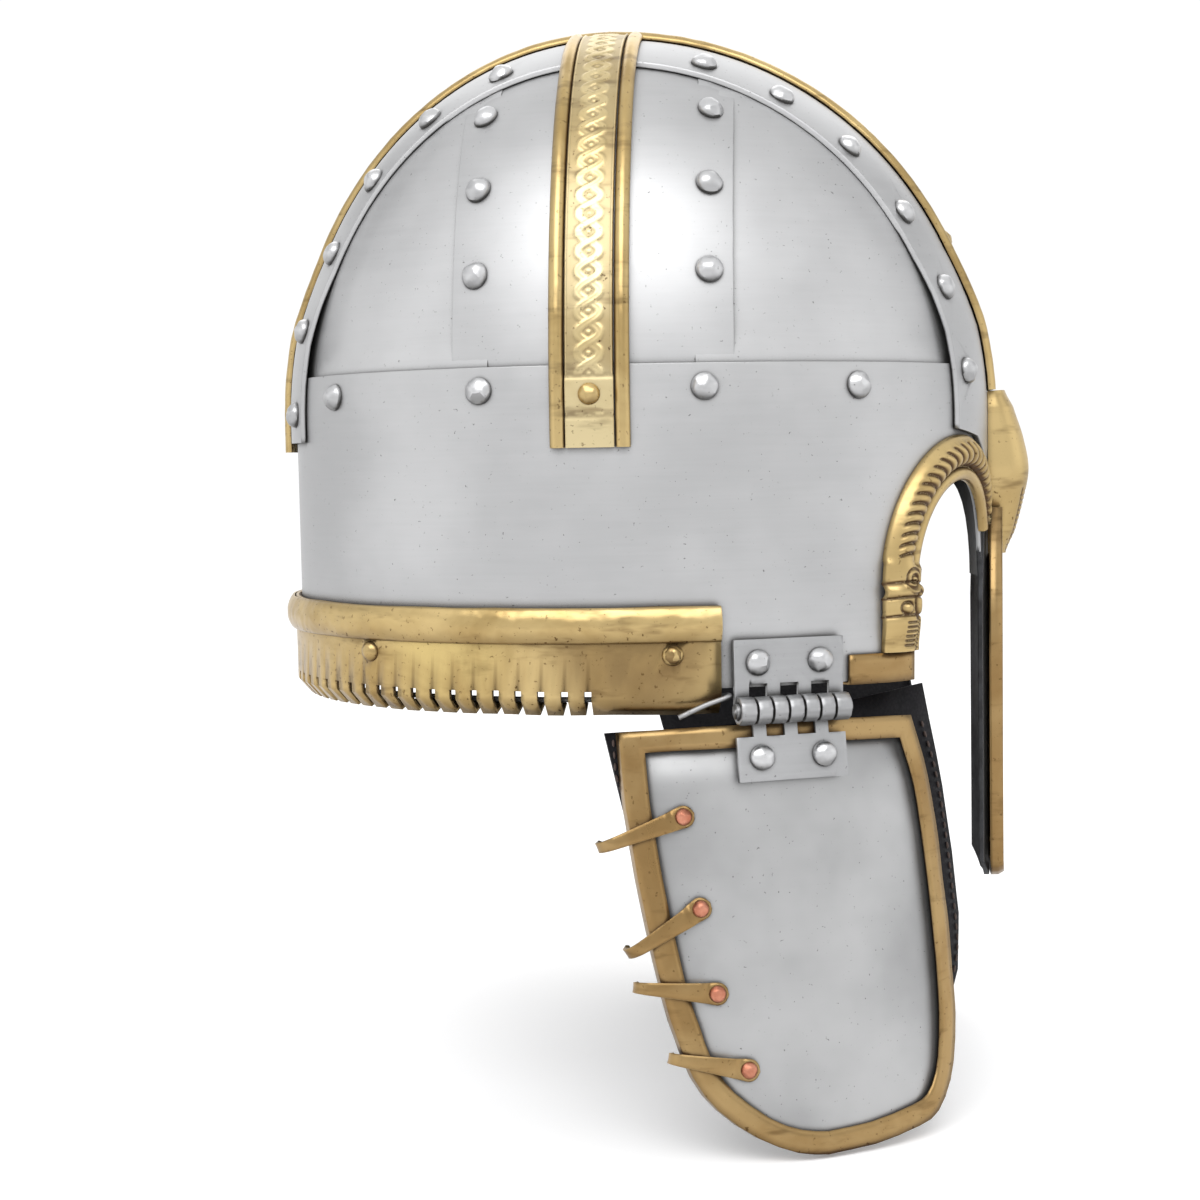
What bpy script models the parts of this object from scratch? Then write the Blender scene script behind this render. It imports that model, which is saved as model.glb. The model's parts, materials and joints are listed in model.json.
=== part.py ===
# Early medieval crested helmet: a riveted steel frame with four plates, brass crests, eyebrows and
# nasal, a slotted neck guard with its mail wire, and two hinged cheek guards lined with leather.
# Lengths are millimetres and become metres when a mesh is made. +X is the face, +Y the wearer's left,
# +Z up. The origin is the inside of the crown, where a head carries the helmet.

import math
import bpy
import bmesh
import numpy as np
from mathutils import Matrix, Vector

MM = 0.001
CLEARANCE = 0.3
LAYER_GAP = 0.5
# Keeps grid lines apart where they would otherwise fall together
HAIR = 0.01

# The bowl: half an ellipsoid on a straight wall. Offsets are measured outward from its inner surface.
FRONT_REACH = 117.3
REAR_REACH = 103.8
HALF_WIDTH = 90.0
DOME_HEIGHT = 120.9
SHEET = 1.5
BAND_WIDTH = 85.0
SIDE_BAND_WIDTH = 85.0
SEAM = 12.0
LAP_START = 9.0
LAP_RUN = 30.0

# Heights are given as distances below the spring line, where the dome meets the straight wall
BROW_RISE = 15.0
BROW_DROP = 82.0
NAPE_DROP = 6.0

RIVET_RADIUS = 4.0
RIVET_HEIGHT = 2.4
RIVET_INSET = 7.0
BAND_RIVET_PITCH = 29.2
BAND_RIVET_FIRST = 36.0
BAND_RIVETS = 6
SIDE_RIVET_HEIGHTS = (95.0, 70.0, 43.0)
BROW_RIVET_PLACES = (80.0, 34.0, -34.0, -85.0)
BROW_RIVET_RISE = 8.0

# Eye openings, measured along the brow band from the middle of the face
NASAL_WIDTH = 28.0
NASAL_DROP = 157.0
NASAL_CORNER = 7.0
EYE_WIDTH = 53.5
EYE_TOP = 20.5
EYE_SPRING = 55.0
EYEBROW_WIDTH = 13.0
EYEBROW_HEIGHT = 5.4
EYEBROW_LIP = 1.0
EYEBROW_RIM = 3.2
EYEBROW_RIM_HEIGHT = 2.6
EYEBROW_END = 152.0
SHOULDER_GAP = 2.0

# Brass crests over the bands
CREST_STRIP_WIDTH = 14.5
CREST_STRIP_HEIGHT = 1.4
BINDING_WIDTH = 4.5
BINDING_HEIGHT = 2.4
LONG_CREST_DROP = 9.0
SIDE_CREST_DROP = 9.5
CREST_RIVET_RADIUS = 3.2
CREST_RIVET_RISE = 6.3
CREST_RIVET_SLOPES = (90.0, 27.0, 150.0)
HEAD_RISE = 7.0
HEAD_LENGTH = 54.2
HEAD_WIDTH = 23.0
HEAD_DEPTH = 13.6

# Panel and binding on the nasal
NASAL_PANEL_HEIGHT = 2.0
NASAL_BINDING_WIDTH = 4.0
NASAL_BINDING_HEIGHT = 4.2

# Folded brass edgings
FOLD_SHEET = 0.8
BROW_EDGING_WIDTH = 8.0

# Neck guard
GUARD_BAND_FRONT = 37.0
GUARD_BAND_TOP = 57.0
GUARD_BEAD_WIDTH = 10.7
GUARD_BEAD_HEIGHT = 2.8
SLOT_PITCH = 7.07
SLOT_WIDTH = 2.2
SLOTS_PER_SIDE = 23
CURL_RADIUS = 4.0
CURL_DROP = 2.9
GUARD_RIVET_DROP = 71.5
GUARD_RIVET_PLACES = (23.0, -71.0)
WIRE_RADIUS = 0.85

# Hinges, whose axes are level and follow the wall at HINGE_PLACE from the crown's middle
HINGE_PLACE = 57.0
HINGE_UNDER = 6.5
HINGE_LENGTH = 35.0
HINGE_KNUCKLES = 7
KNUCKLE_RADIUS = 4.25
LEAF_SHEET = 1.6
LEAF_DROP = 21.0
LEAF_GAP = 3.4
KNUCKLE_PLAY = 0.9
KNUCKLE_CURL = 286.0
PIN_PROUD = 1.0
HINGE_RIVET_RADIUS = 3.0
HINGE_RIVET_SPACING = 20.0
HINGE_RIVET_DROP = 14.0

# Cheek guards, laid out from the hinge axis: forward along it and down from it
CHEEK_WIDTH = 105.0
CHEEK_HEIGHT = 126.0
CHEEK_DROP = 5.0
CHEEK_DISH = 2.0
CHEEK_EDGING_WIDTH = 5.4
LINING_SHEET = 1.5
LINING_RISE = 10.0
LINING_RISE_START = 0.37
LINING_REAR_MARGIN = 4.0
LINING_FRONT_MARGIN = 10.5
LINING_TUCK = 1.5
LINING_REAR_FADE = (0.08, 0.24)
LINING_FRONT_FADE = (0.55, 0.80)
HOOK_WIDTH = 6.6
HOOK_TIP_WIDTH = 3.0
HOOK_SHEET = 1.2
HOOK_CURL_RADIUS = 3.5
HOOK_STEP = 0.28
HOOK_RIVET_RADIUS = 2.5
HOOK_RIVET_HEIGHT = 1.9

# Rear and front edges of the cheek guard as shares of its width (from the hinge's middle) and height
CHEEK_REAR_EDGE = (
    (-0.468, 0.00), (-0.464, 0.17), (-0.443, 0.34), (-0.411, 0.53), (-0.380, 0.67),
    (-0.330, 0.80), (-0.270, 0.878), (-0.165, 0.949), (-0.060, 0.987), (0.030, 1.00),
)
CHEEK_FRONT_EDGE = (
    (0.410, 0.00), (0.446, 0.10), (0.468, 0.20), (0.483, 0.34), (0.493, 0.50), (0.495, 0.66),
    (0.487, 0.785), (0.458, 0.88), (0.404, 0.940), (0.330, 0.967), (0.180, 0.992), (0.030, 1.00),
)
# Rivet and tip of each hook as shares of the same width and height
HOOKS = (
    ((-0.325, 0.198), (-0.553, 0.258)),
    ((-0.295, 0.415), (-0.495, 0.510)),
    ((-0.264, 0.615), (-0.482, 0.588)),
    ((-0.190, 0.797), (-0.400, 0.757)),
)
# Free end of the mail wire: how far it lies ahead of the neck guard and below the middle of its curls,
# and how far out, as a share of the way from that middle to the guard's face
WIRE_END = (
    (13.0, 5.0, 1.10), (5.0, 1.6, 1.00), (-1.6, -0.5, 0.93),
    (-2.6, -0.7, 0.50), (-1.7, -0.4, 0.12), (2.0, 0.0, 0.00),
)
# Beast head down the face as shares of its length, width and depth
HEAD_SECTIONS = (
    (0.00, 0.78, 0.42), (0.10, 0.88, 0.62), (0.28, 0.98, 0.86), (0.48, 1.00, 1.00),
    (0.68, 0.80, 0.86), (0.86, 0.66, 0.66), (1.00, 0.52, 0.42),
)
# Roll of an eyebrow as shares of its width, out from the rim, and of its height
EYEBROW_ROLL = ((0.08, 0.72), (0.35, 1.00), (0.68, 0.86), (0.93, 0.50))
# The roll thins on its way to the nose: its size at these turns round the eye, in degrees
ROLL_TAPER = ((0.0, 1.0), (95.0, 1.0), (152.0, 0.3))

SPRING_Z = -DOME_HEIGHT
SIDE_BAND_IN = SHEET + LAYER_GAP
BROW_IN = SIDE_BAND_IN + SHEET + LAYER_GAP
BROW_OUT = BROW_IN + SHEET
LAP_RISE = SHEET + LAYER_GAP
TRIM = BROW_OUT + LAYER_GAP
OVER_LAP = TRIM + LAP_RISE
EYE_REAR = NASAL_WIDTH / 2 + EYE_WIDTH

STEEL_DENSITY = 7850.0
BRASS_DENSITY = 8500.0
COPPER_DENSITY = 8900.0
LEATHER_DENSITY = 950.0


def material(name, colour, roughness, metallic):
    made = bpy.data.materials.new(name)
    made.use_nodes = True
    made.diffuse_color = (*colour, 1.0)
    shader = made.node_tree.nodes["Principled BSDF"]
    shader.inputs["Base Color"].default_value = (*colour, 1.0)
    shader.inputs["Roughness"].default_value = roughness
    shader.inputs["Metallic"].default_value = metallic
    return made


def make_object(name, bm, finish, parent=None):
    bmesh.ops.recalc_face_normals(bm, faces=bm.faces)
    mesh = bpy.data.meshes.new(name)
    bm.to_mesh(mesh)
    bm.free()
    mesh.transform(Matrix.Scale(MM, 4))
    mesh.shade_smooth()
    mesh.set_sharp_from_angle(angle=math.radians(35.0))
    if finish:
        mesh.materials.append(finish)
    made = bpy.data.objects.new(name, mesh)
    bpy.context.collection.objects.link(made)
    made.parent = parent
    return made


# Surfaces of the bowl

def reach_at(forward):
    return FRONT_REACH if forward >= 0.0 else REAR_REACH


def wall_point(angle, below, offset):
    rise = DOME_HEIGHT + offset
    shrink = math.sqrt(1.0 - (min(below, 0.0) / rise) ** 2)
    reach = reach_at(math.cos(angle)) + offset
    x = reach * shrink * math.cos(angle)
    y = (HALF_WIDTH + offset) * shrink * math.sin(angle)
    return Vector((x, y, SPRING_Z - below))


def long_point(slope, y, offset, below=0.0):
    shrink = math.sqrt(1.0 - (y / (HALF_WIDTH + offset)) ** 2)
    reach = reach_at(math.cos(slope)) + offset
    rise = (DOME_HEIGHT + offset) * shrink * math.sin(slope)
    return Vector((reach * shrink * math.cos(slope), y, SPRING_Z + rise - below))


def cross_point(side, slope, x, offset, below=0.0):
    shrink = math.sqrt(1.0 - (x / (reach_at(x) + offset)) ** 2)
    out = (HALF_WIDTH + offset) * shrink * math.cos(slope)
    rise = (DOME_HEIGHT + offset) * shrink * math.sin(slope)
    return Vector((x, side * out, SPRING_Z + rise - below))


def arc_table(point, start, end, steps=360):
    values = np.linspace(start, end, steps + 1)
    points = np.array([point(value) for value in values])
    lengths = np.linalg.norm(np.diff(points, axis=0), axis=1)
    return np.concatenate(([0.0], np.cumsum(lengths))), values


WALL_ARCS, WALL_ANGLES = arc_table(lambda angle: wall_point(angle, 0.0, BROW_OUT), 0.0, math.pi)
HALF_ROUND = float(WALL_ARCS[-1])


def angle_at(arc):
    return math.copysign(float(np.interp(abs(arc), WALL_ARCS, WALL_ANGLES)), arc)


def arc_at(x):
    angle = math.acos(x / (reach_at(x) + BROW_OUT))
    return float(np.interp(angle, WALL_ANGLES, WALL_ARCS))


def wall_at(arc, below, offset):
    return wall_point(angle_at(arc), below, offset)


def outward(place, offset):
    """The way straight out of the bowl's surface at this place on it."""
    reach = reach_at(place.x) + offset
    rise = max(place.z - SPRING_Z, 0.0)
    slope = (place.x / reach ** 2, place.y / (HALF_WIDTH + offset) ** 2, rise / (DOME_HEIGHT + offset) ** 2)
    return Vector(slope).normalized()


def seat_on(point, offset):
    """Seat of a rivet head: where it stands and the way out."""
    place = point(offset)
    return place, outward(place, offset)


# Mesh builders

def shell(outer, inner, keep=lambda i, j: True, closed=False):
    """A sheet between two grids of points; keep leaves cells out, closed joins the last column."""
    bm = bmesh.new()
    columns = len(outer)
    rows = len(outer[0])
    corners = {}

    def corner(layer, i, j):
        key = (layer, i % columns, j)
        if key not in corners:
            corners[key] = bm.verts.new((outer if layer else inner)[i % columns][j])
        return corners[key]

    spans = columns if closed else columns - 1
    cells = {(i, j) for i in range(spans) for j in range(rows - 1) if keep(i, j)}
    for i, j in sorted(cells):
        ring = ((i, j), (i + 1, j), (i + 1, j + 1), (i, j + 1))
        bm.faces.new([corner(1, *place) for place in ring])
        bm.faces.new([corner(0, *place) for place in reversed(ring)])
        left = ((i - 1) % columns if closed else i - 1, j)
        right = ((i + 1) % columns if closed else i + 1, j)
        for beside, a, b in (((i, j - 1), 0, 1), (right, 1, 2), ((i, j + 1), 2, 3), (left, 3, 0)):
            if beside not in cells:
                edge = [corner(1, *ring[b]), corner(1, *ring[a]), corner(0, *ring[a]), corner(0, *ring[b])]
                bm.faces.new(edge)
    return bm


def sweep(sections, closed=False):
    """Joins rings of points; an open sweep is capped at both ends."""
    bm = bmesh.new()
    rings = [[bm.verts.new(point) for point in section] for section in sections]
    count = len(rings[0])
    pairs = list(zip(rings, rings[1:]))
    if closed:
        pairs.append((rings[-1], rings[0]))
    for near, far in pairs:
        for i in range(count):
            j = (i + 1) % count
            bm.faces.new((near[i], near[j], far[j], far[i]))
    if not closed:
        bm.faces.new(rings[0])
        bm.faces.new(rings[-1])
    return bm


def add_dome(bm, seat, normal, radius, height, sink=0.7, sides=8):
    """A rivet head: its base sinks into the sheet that it belongs to."""
    turn = normal.to_track_quat("Z", "X")
    rings = []
    for share, level in ((1.0, -sink), (0.76, 0.72 * height)):
        ring = []
        for k in range(sides):
            around = math.tau * (k + 0.5) / sides
            flat = Vector((share * radius * math.cos(around), share * radius * math.sin(around), level))
            ring.append(bm.verts.new(seat + turn @ flat))
        rings.append(ring)
    top = bm.verts.new(seat + normal * height)
    bm.faces.new(rings[0])
    for near, far in zip(rings, rings[1:]):
        for i in range(sides):
            j = (i + 1) % sides
            bm.faces.new((near[i], near[j], far[j], far[i]))
    for i in range(sides):
        bm.faces.new((rings[-1][i], rings[-1][(i + 1) % sides], top))


def boolean(target, other, operation):
    other.hide_render = True
    other.display_type = "WIRE"
    modifier = target.modifiers.new(operation.title(), "BOOLEAN")
    modifier.operation = operation
    modifier.object = other


def rivet(target, seats, radius, height, parent=None):
    """Adds rivet heads to a sheet; each seat is a point on its face and the way out of it."""
    bm = bmesh.new()
    for seat, normal in seats:
        add_dome(bm, seat, normal, radius, height)
    boolean(target, make_object(target.name + "_rivet_heads", bm, None, parent), "UNION")


def half_round(start, width, base, height):
    """Section of a half-round moulding as (across, offset) points."""
    shares = ((0.0, 0.0), (0.0, 0.55), (0.26, 1.0), (0.74, 1.0), (1.0, 0.55), (1.0, 0.0))
    return [(start + width * across, base + height * up) for across, up in shares]


def curve_through(points, per_span=3):
    """A smooth line through the points, with free ends."""
    ends = [2 * Vector(points[0]) - Vector(points[1])]
    ends += [Vector(point) for point in points]
    ends.append(2 * Vector(points[-1]) - Vector(points[-2]))
    line = []
    for a, b, c, d in zip(ends, ends[1:], ends[2:], ends[3:]):
        for step in range(per_span):
            t = step / per_span
            bend = (2 * a - 5 * b + 4 * c - d) * t ** 2 + (3 * b - a - 3 * c + d) * t ** 3
            line.append(b + 0.5 * ((c - a) * t + bend))
    line.append(ends[-2])
    return line


# Bands and plates of the bowl

def eye_edge(arc):
    """How far below the spring line the top of the eye opening lies at this place along the band."""
    from_middle = (abs(arc) - NASAL_WIDTH / 2 - EYE_WIDTH / 2) / (EYE_WIDTH / 2)
    if abs(from_middle) >= 1.0:
        return EYE_SPRING
    return EYE_SPRING - (EYE_SPRING - EYE_TOP) * math.sqrt(1.0 - from_middle ** 2)


def build_brow_band(steel):
    face = [NASAL_WIDTH / 2 + EYE_WIDTH * 0.5 * (1.0 - math.cos(math.pi * k / 16)) for k in range(17)]
    side = list(np.linspace(EYE_REAR, HALF_ROUND, 19))[1:]
    half = face + side
    arcs = [-arc for arc in reversed(half[:-1])] + half
    drops = [(-BROW_RISE, 0.0, eye_edge(arc), BROW_DROP) for arc in arcs]
    outer = [[wall_at(arc, drop, BROW_OUT) for drop in drop_list] for arc, drop_list in zip(arcs, drops)]
    inner = [[wall_at(arc, drop, BROW_IN) for drop in drop_list] for arc, drop_list in zip(arcs, drops)]

    def keep(i, j):
        if i == len(arcs) - 1 or j < 2:
            return True
        return abs(arcs[i] + arcs[i + 1]) / 2 > EYE_REAR

    band = make_object("brow_band", shell(outer, inner, keep, closed=True), steel)
    seats = []
    for side in (-1, 1):
        for place in BROW_RIVET_PLACES:
            arc = side * arc_at(place)
            seats.append(seat_on(lambda offset: wall_at(arc, -BROW_RIVET_RISE, offset), BROW_OUT))
    rivet(band, seats, RIVET_RADIUS, RIVET_HEIGHT)


def smooth_step(value):
    value = min(max(value, 0.0), 1.0)
    return value * value * (3.0 - 2.0 * value)


def long_lift(slope, y=0.0):
    """The long band rises over the brow band's upper edge."""
    shrink = math.sqrt(1.0 - (y / (HALF_WIDTH + BROW_IN)) ** 2)
    above = (DOME_HEIGHT + BROW_IN) * shrink * math.sin(slope) - BROW_RISE
    return LAP_RISE * (1.0 - smooth_step((above - LAP_START) / LAP_RUN))


def shoulder(y):
    """Lower edge of the long band's full width, along the outside of the eyebrows."""
    arc = max(abs(y), NASAL_WIDTH / 2)
    rise = EYE_SPRING - EYE_TOP + EYEBROW_WIDTH
    from_middle = (arc - NASAL_WIDTH / 2 - EYE_WIDTH / 2) / (EYE_WIDTH / 2 + EYEBROW_WIDTH)
    return EYE_SPRING - rise * math.sqrt(1.0 - from_middle ** 2) - SHOULDER_GAP


def nasal_end(y):
    share = min(abs(y) / (NASAL_WIDTH / 2), 1.0)
    return NASAL_DROP - NASAL_CORNER * (1.0 - math.sqrt(1.0 - share ** 2))


def build_long_band(steel):
    edge = BAND_WIDTH / 2
    nose = NASAL_WIDTH / 2
    across = [-edge, -(edge + nose) / 2, -nose, -nose / 2, 0.0, nose / 2, nose, (edge + nose) / 2, edge]
    slopes = np.linspace(0.0, math.pi, 29)

    def grid(base):
        columns = []
        for y in across:
            column = []
            for share in (1.0, 0.86, 0.5):
                drop = shoulder(y) + (nasal_end(y) - shoulder(y)) * share
                column.append(long_point(0.0, y, base + LAP_RISE, drop))
            column.append(long_point(0.0, y, base + LAP_RISE, shoulder(y)))
            column += [long_point(slope, y, base + long_lift(slope, y)) for slope in slopes]
            column.append(long_point(math.pi, y, base + LAP_RISE, NAPE_DROP))
            columns.append(column)
        return columns

    def keep(i, j):
        return j > 2 or abs(across[i] + across[i + 1]) / 2 < nose

    band = make_object("nose_nape_band", shell(grid(BROW_OUT), grid(BROW_IN), keep), steel)
    arcs, angles = arc_table(lambda slope: long_point(slope, 0.0, BROW_OUT), math.pi / 2, 0.0)
    back_arcs, back_angles = arc_table(lambda slope: long_point(slope, 0.0, BROW_OUT), math.pi / 2, math.pi)
    seats = []
    for k in range(BAND_RIVETS):
        arc = BAND_RIVET_FIRST + k * BAND_RIVET_PITCH
        for slope in (np.interp(arc, arcs, angles), np.interp(arc, back_arcs, back_angles)):
            for y in (-edge + RIVET_INSET, edge - RIVET_INSET):
                top = BROW_OUT + long_lift(slope, y)
                seats.append(seat_on(lambda offset: long_point(slope, y, offset), top))
    rivet(band, seats, RIVET_RADIUS, RIVET_HEIGHT)


def build_side_band(side, word, steel):
    edge = SIDE_BAND_WIDTH / 2
    across = np.linspace(-edge, edge, 7)
    lower = BROW_RISE - SEAM
    upper_y = BAND_WIDTH / 2 - SEAM

    def grid(offset):
        columns = []
        for x in across:
            shrink = math.sqrt(1.0 - (x / (reach_at(x) + offset)) ** 2)
            start = math.asin(lower / ((DOME_HEIGHT + offset) * shrink))
            end = math.acos(upper_y / ((HALF_WIDTH + offset) * shrink))
            columns.append([cross_point(side, slope, x, offset) for slope in np.linspace(start, end, 10)])
        return columns

    outer = SIDE_BAND_IN + SHEET
    band = make_object("side_band_" + word, shell(grid(outer), grid(SIDE_BAND_IN)), steel)
    seats = []
    for x in (-edge + RIVET_INSET, edge - RIVET_INSET):
        shrink = math.sqrt(1.0 - (x / (reach_at(x) + outer)) ** 2)
        for height in SIDE_RIVET_HEIGHTS:
            slope = math.asin(height / ((DOME_HEIGHT + outer) * shrink))
            seats.append(seat_on(lambda offset: cross_point(side, slope, x, offset), outer))
    rivet(band, seats, RIVET_RADIUS, RIVET_HEIGHT)


def build_plate(name, ahead, side, steel):
    """A plate between the bands; its edges lie a seam's width under them."""
    least_x = SIDE_BAND_WIDTH / 2 - SEAM
    least_y = BAND_WIDTH / 2 - SEAM
    reach = reach_at(ahead)
    top_shrink = 1.1 * math.hypot(least_x / reach, least_y / HALF_WIDTH)
    top = DOME_HEIGHT * math.sqrt(1.0 - top_shrink ** 2)
    levels = [top + (BROW_RISE - SEAM - top) * math.sin(math.pi / 2 * k / 7) for k in range(8)]

    def grid(offset):
        columns = []
        for k in range(7):
            column = []
            for level in levels:
                shrink = math.sqrt(1.0 - (level / (DOME_HEIGHT + offset)) ** 2)
                first = math.asin(least_y / ((HALF_WIDTH + offset) * shrink))
                last = math.acos(least_x / ((reach + offset) * shrink))
                angle = first + (last - first) * k / 6
                x = ahead * (reach + offset) * shrink * math.cos(angle)
                y = side * (HALF_WIDTH + offset) * shrink * math.sin(angle)
                column.append(Vector((x, y, SPRING_Z + level)))
            columns.append(column)
        return columns

    make_object(name, shell(grid(SHEET), grid(0.0)), steel)


# Brass crests, beast head and eyebrows

def strip_section():
    half = CREST_STRIP_WIDTH / 2
    top = TRIM + CREST_STRIP_HEIGHT
    return [(-half, TRIM), (-half, top), (0.0, top), (half, top), (half, TRIM), (0.0, TRIM)]


def build_long_crest(brass):
    first = math.asin((HEAD_RISE + CLEARANCE) / (DOME_HEIGHT + OVER_LAP))
    stations = [(slope, 0.0) for slope in np.linspace(first, math.pi, 30)]
    stations.append((math.pi, LONG_CREST_DROP))

    def run(section):
        rings = []
        for slope, below in stations:
            lift = long_lift(slope)
            rings.append([long_point(slope, across, offset + lift, below) for across, offset in section])
        return sweep(rings)

    half = CREST_STRIP_WIDTH / 2
    strip = make_object("crest_strip_long", run(strip_section()), brass)
    seats = []
    for slope in map(math.radians, CREST_RIVET_SLOPES):
        top = TRIM + CREST_STRIP_HEIGHT + long_lift(slope)
        seats.append(seat_on(lambda offset: long_point(slope, 0.0, offset), top))
    rivet(strip, seats, CREST_RIVET_RADIUS, RIVET_HEIGHT)
    for side, word in ((-1, "right"), (1, "left")):
        section = half_round(half + CLEARANCE, BINDING_WIDTH, TRIM, BINDING_HEIGHT)
        rings = run([(side * across, offset) for across, offset in section])
        make_object("crest_binding_long_" + word, rings, brass)


def build_side_crest(side, word, brass):
    half = CREST_STRIP_WIDTH / 2
    crest_half = half + CLEARANCE + BINDING_WIDTH
    rise = DOME_HEIGHT + TRIM
    brow_slope = math.asin((BROW_RISE + 1.0) / rise)
    band_slope = math.acos((BAND_WIDTH / 2 + 1.0) / (HALF_WIDTH + TRIM))
    last = math.acos((crest_half + 2.0 * LAYER_GAP) / (HALF_WIDTH + TRIM))
    step = math.radians(2.0)
    slopes = [(0.0, SIDE_CREST_DROP), (0.0, 0.0), (brow_slope / 2, 0.0), (brow_slope, 0.0)]
    slopes += [(slope, 0.0) for slope in np.linspace(brow_slope + step, band_slope - step, 9)]
    slopes += [(slope, 0.0) for slope in np.linspace(band_slope, last, 4)]

    def run(section):
        rings = []
        for slope, below in slopes:
            inside = brow_slope + step / 2 < slope < band_slope - step / 2
            dip = LAP_RISE if inside else 0.0
            ring = []
            for across, offset in section:
                under = dip if offset <= TRIM else 0.0
                ring.append(cross_point(side, slope, across, offset - under, below))
            rings.append(ring)
        return sweep(rings)

    strip = make_object("crest_strip_" + word, run(strip_section()), brass)
    slope = math.asin(CREST_RIVET_RISE / rise)
    top = TRIM + CREST_STRIP_HEIGHT
    seats = [seat_on(lambda offset: cross_point(side, slope, 0.0, offset), top)]
    rivet(strip, seats, CREST_RIVET_RADIUS, RIVET_HEIGHT)
    for ahead, where in ((1, "front"), (-1, "rear")):
        section = half_round(half + CLEARANCE, BINDING_WIDTH, TRIM, BINDING_HEIGHT)
        rings = run([(ahead * across, offset) for across, offset in section])
        make_object("crest_binding_" + word + "_" + where, rings, brass)


def build_crest_head(brass):
    """Beast head that looks down the nasal: rounded sections that stand on the long band."""
    rings = []
    for along, width, depth in HEAD_SECTIONS:
        below = along * HEAD_LENGTH - HEAD_RISE
        slope = math.asin(max(-below, 0.0) / (DOME_HEIGHT + OVER_LAP))
        ring = []
        for k in range(9):
            around = math.pi * k / 8
            y = 0.5 * HEAD_WIDTH * width * math.cos(around)
            height = HEAD_DEPTH * depth * max(math.sin(around), 0.0) ** 0.7
            ring.append(long_point(slope, y, OVER_LAP + height, max(below, 0.0)))
        for share in (-0.5, 0.0, 0.5):
            ring.append(long_point(slope, 0.5 * share * HEAD_WIDTH * width, OVER_LAP, max(below, 0.0)))
        rings.append(ring)
    make_object("crest_head", sweep(rings), brass)


def eye_path(turn):
    """Edge of the eye opening, from its rear foot (turn 0) over the arch towards the nose (pi)."""
    arc = NASAL_WIDTH / 2 + EYE_WIDTH / 2 * (1.0 + math.cos(turn))
    below = EYE_SPRING - (EYE_SPRING - EYE_TOP) * math.sin(turn)
    out = Vector((math.cos(turn) / EYE_WIDTH * 2, math.sin(turn) / (EYE_SPRING - EYE_TOP))).normalized()
    return arc, below, out


def eyebrow_section(turn):
    """Rim and roll as (out from the eye opening, offset) points at this turn round the eye."""
    size = float(np.interp(math.degrees(turn), *zip(*ROLL_TAPER)))
    lip = -EYEBROW_LIP - CLEARANCE
    rim = EYEBROW_RIM
    roll = (EYEBROW_WIDTH - rim) * size
    high = EYEBROW_RIM_HEIGHT + (EYEBROW_HEIGHT - EYEBROW_RIM_HEIGHT) * size
    section = [(lip, -SHEET), (lip, 0.75 * EYEBROW_RIM_HEIGHT), (rim, 0.8 * EYEBROW_RIM_HEIGHT)]
    section += [(rim + roll * across, high * up) for across, up in EYEBROW_ROLL]
    section += [(rim + roll, LAYER_GAP), (-CLEARANCE, LAYER_GAP), (-CLEARANCE, -SHEET)]
    return section


def build_eyebrow(side, word, brass):
    foot = BROW_DROP - BROW_EDGING_WIDTH
    section = eyebrow_section(0.0)
    rings = []
    for below in (foot, (foot + EYE_SPRING) / 2):
        rings.append([wall_at(side * (EYE_REAR + p), below, BROW_OUT + q) for p, q in section])
    for turn in np.linspace(0.0, math.radians(EYEBROW_END), 18):
        arc, below, out = eye_path(turn)
        ring = []
        for p, q in eyebrow_section(turn):
            ring.append(wall_at(side * max(arc + out.x * p, HAIR), below - out.y * p, BROW_OUT + q))
        rings.append(ring)
    eyebrow = make_object("eyebrow_" + word, sweep(rings), brass)
    bm = bmesh.new()
    bmesh.ops.create_cube(bm, size=1.0)
    depth = 3.0 * HEAD_DEPTH + 2.0 * EYEBROW_HEIGHT
    reach = NASAL_WIDTH + 2.0 * CLEARANCE
    bmesh.ops.scale(bm, verts=bm.verts, vec=(depth, reach, 2.0 * NASAL_DROP))
    bmesh.ops.translate(bm, verts=bm.verts, vec=(FRONT_REACH + BROW_OUT, 0.0, SPRING_Z))
    boolean(eyebrow, make_object("nasal_clearance_" + word, bm, None), "DIFFERENCE")


def build_nasal_trim(brass):
    top = HEAD_LENGTH - HEAD_RISE + CLEARANCE
    inner = NASAL_WIDTH / 2 - NASAL_BINDING_WIDTH - CLEARANCE
    across = [-inner, -inner / 2, 0.0, inner / 2, inner]

    def foot(y):
        return nasal_end(y * NASAL_WIDTH / (2.0 * inner)) - NASAL_BINDING_WIDTH - CLEARANCE

    def grid(offset):
        return [[long_point(0.0, y, offset, top), long_point(0.0, y, offset, foot(y))] for y in across]

    panel = shell(grid(OVER_LAP + NASAL_PANEL_HEIGHT), grid(OVER_LAP))
    make_object("nasal_panel", panel, brass)
    half = NASAL_WIDTH / 2
    start = top - NASAL_BINDING_WIDTH
    line = [Vector((-half, start)), Vector((-half, NASAL_DROP - NASAL_CORNER))]
    for k in range(1, 10):
        y = -half * math.cos(math.pi * k / 10)
        line.append(Vector((y, nasal_end(y))))
    line += [Vector((half, NASAL_DROP - NASAL_CORNER)), Vector((half, start))]
    rings = []
    for k, place in enumerate(line):
        ahead = (line[min(k + 1, len(line) - 1)] - line[max(k - 1, 0)]).normalized()
        inward = Vector((ahead.y, -ahead.x))
        ring = []
        for p, q in half_round(0.0, NASAL_BINDING_WIDTH, OVER_LAP, NASAL_BINDING_HEIGHT):
            spot = place + inward * p
            ring.append(long_point(0.0, spot.x, q, spot.y))
        rings.append(ring)
    make_object("nasal_binding", sweep(rings), brass)


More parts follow.
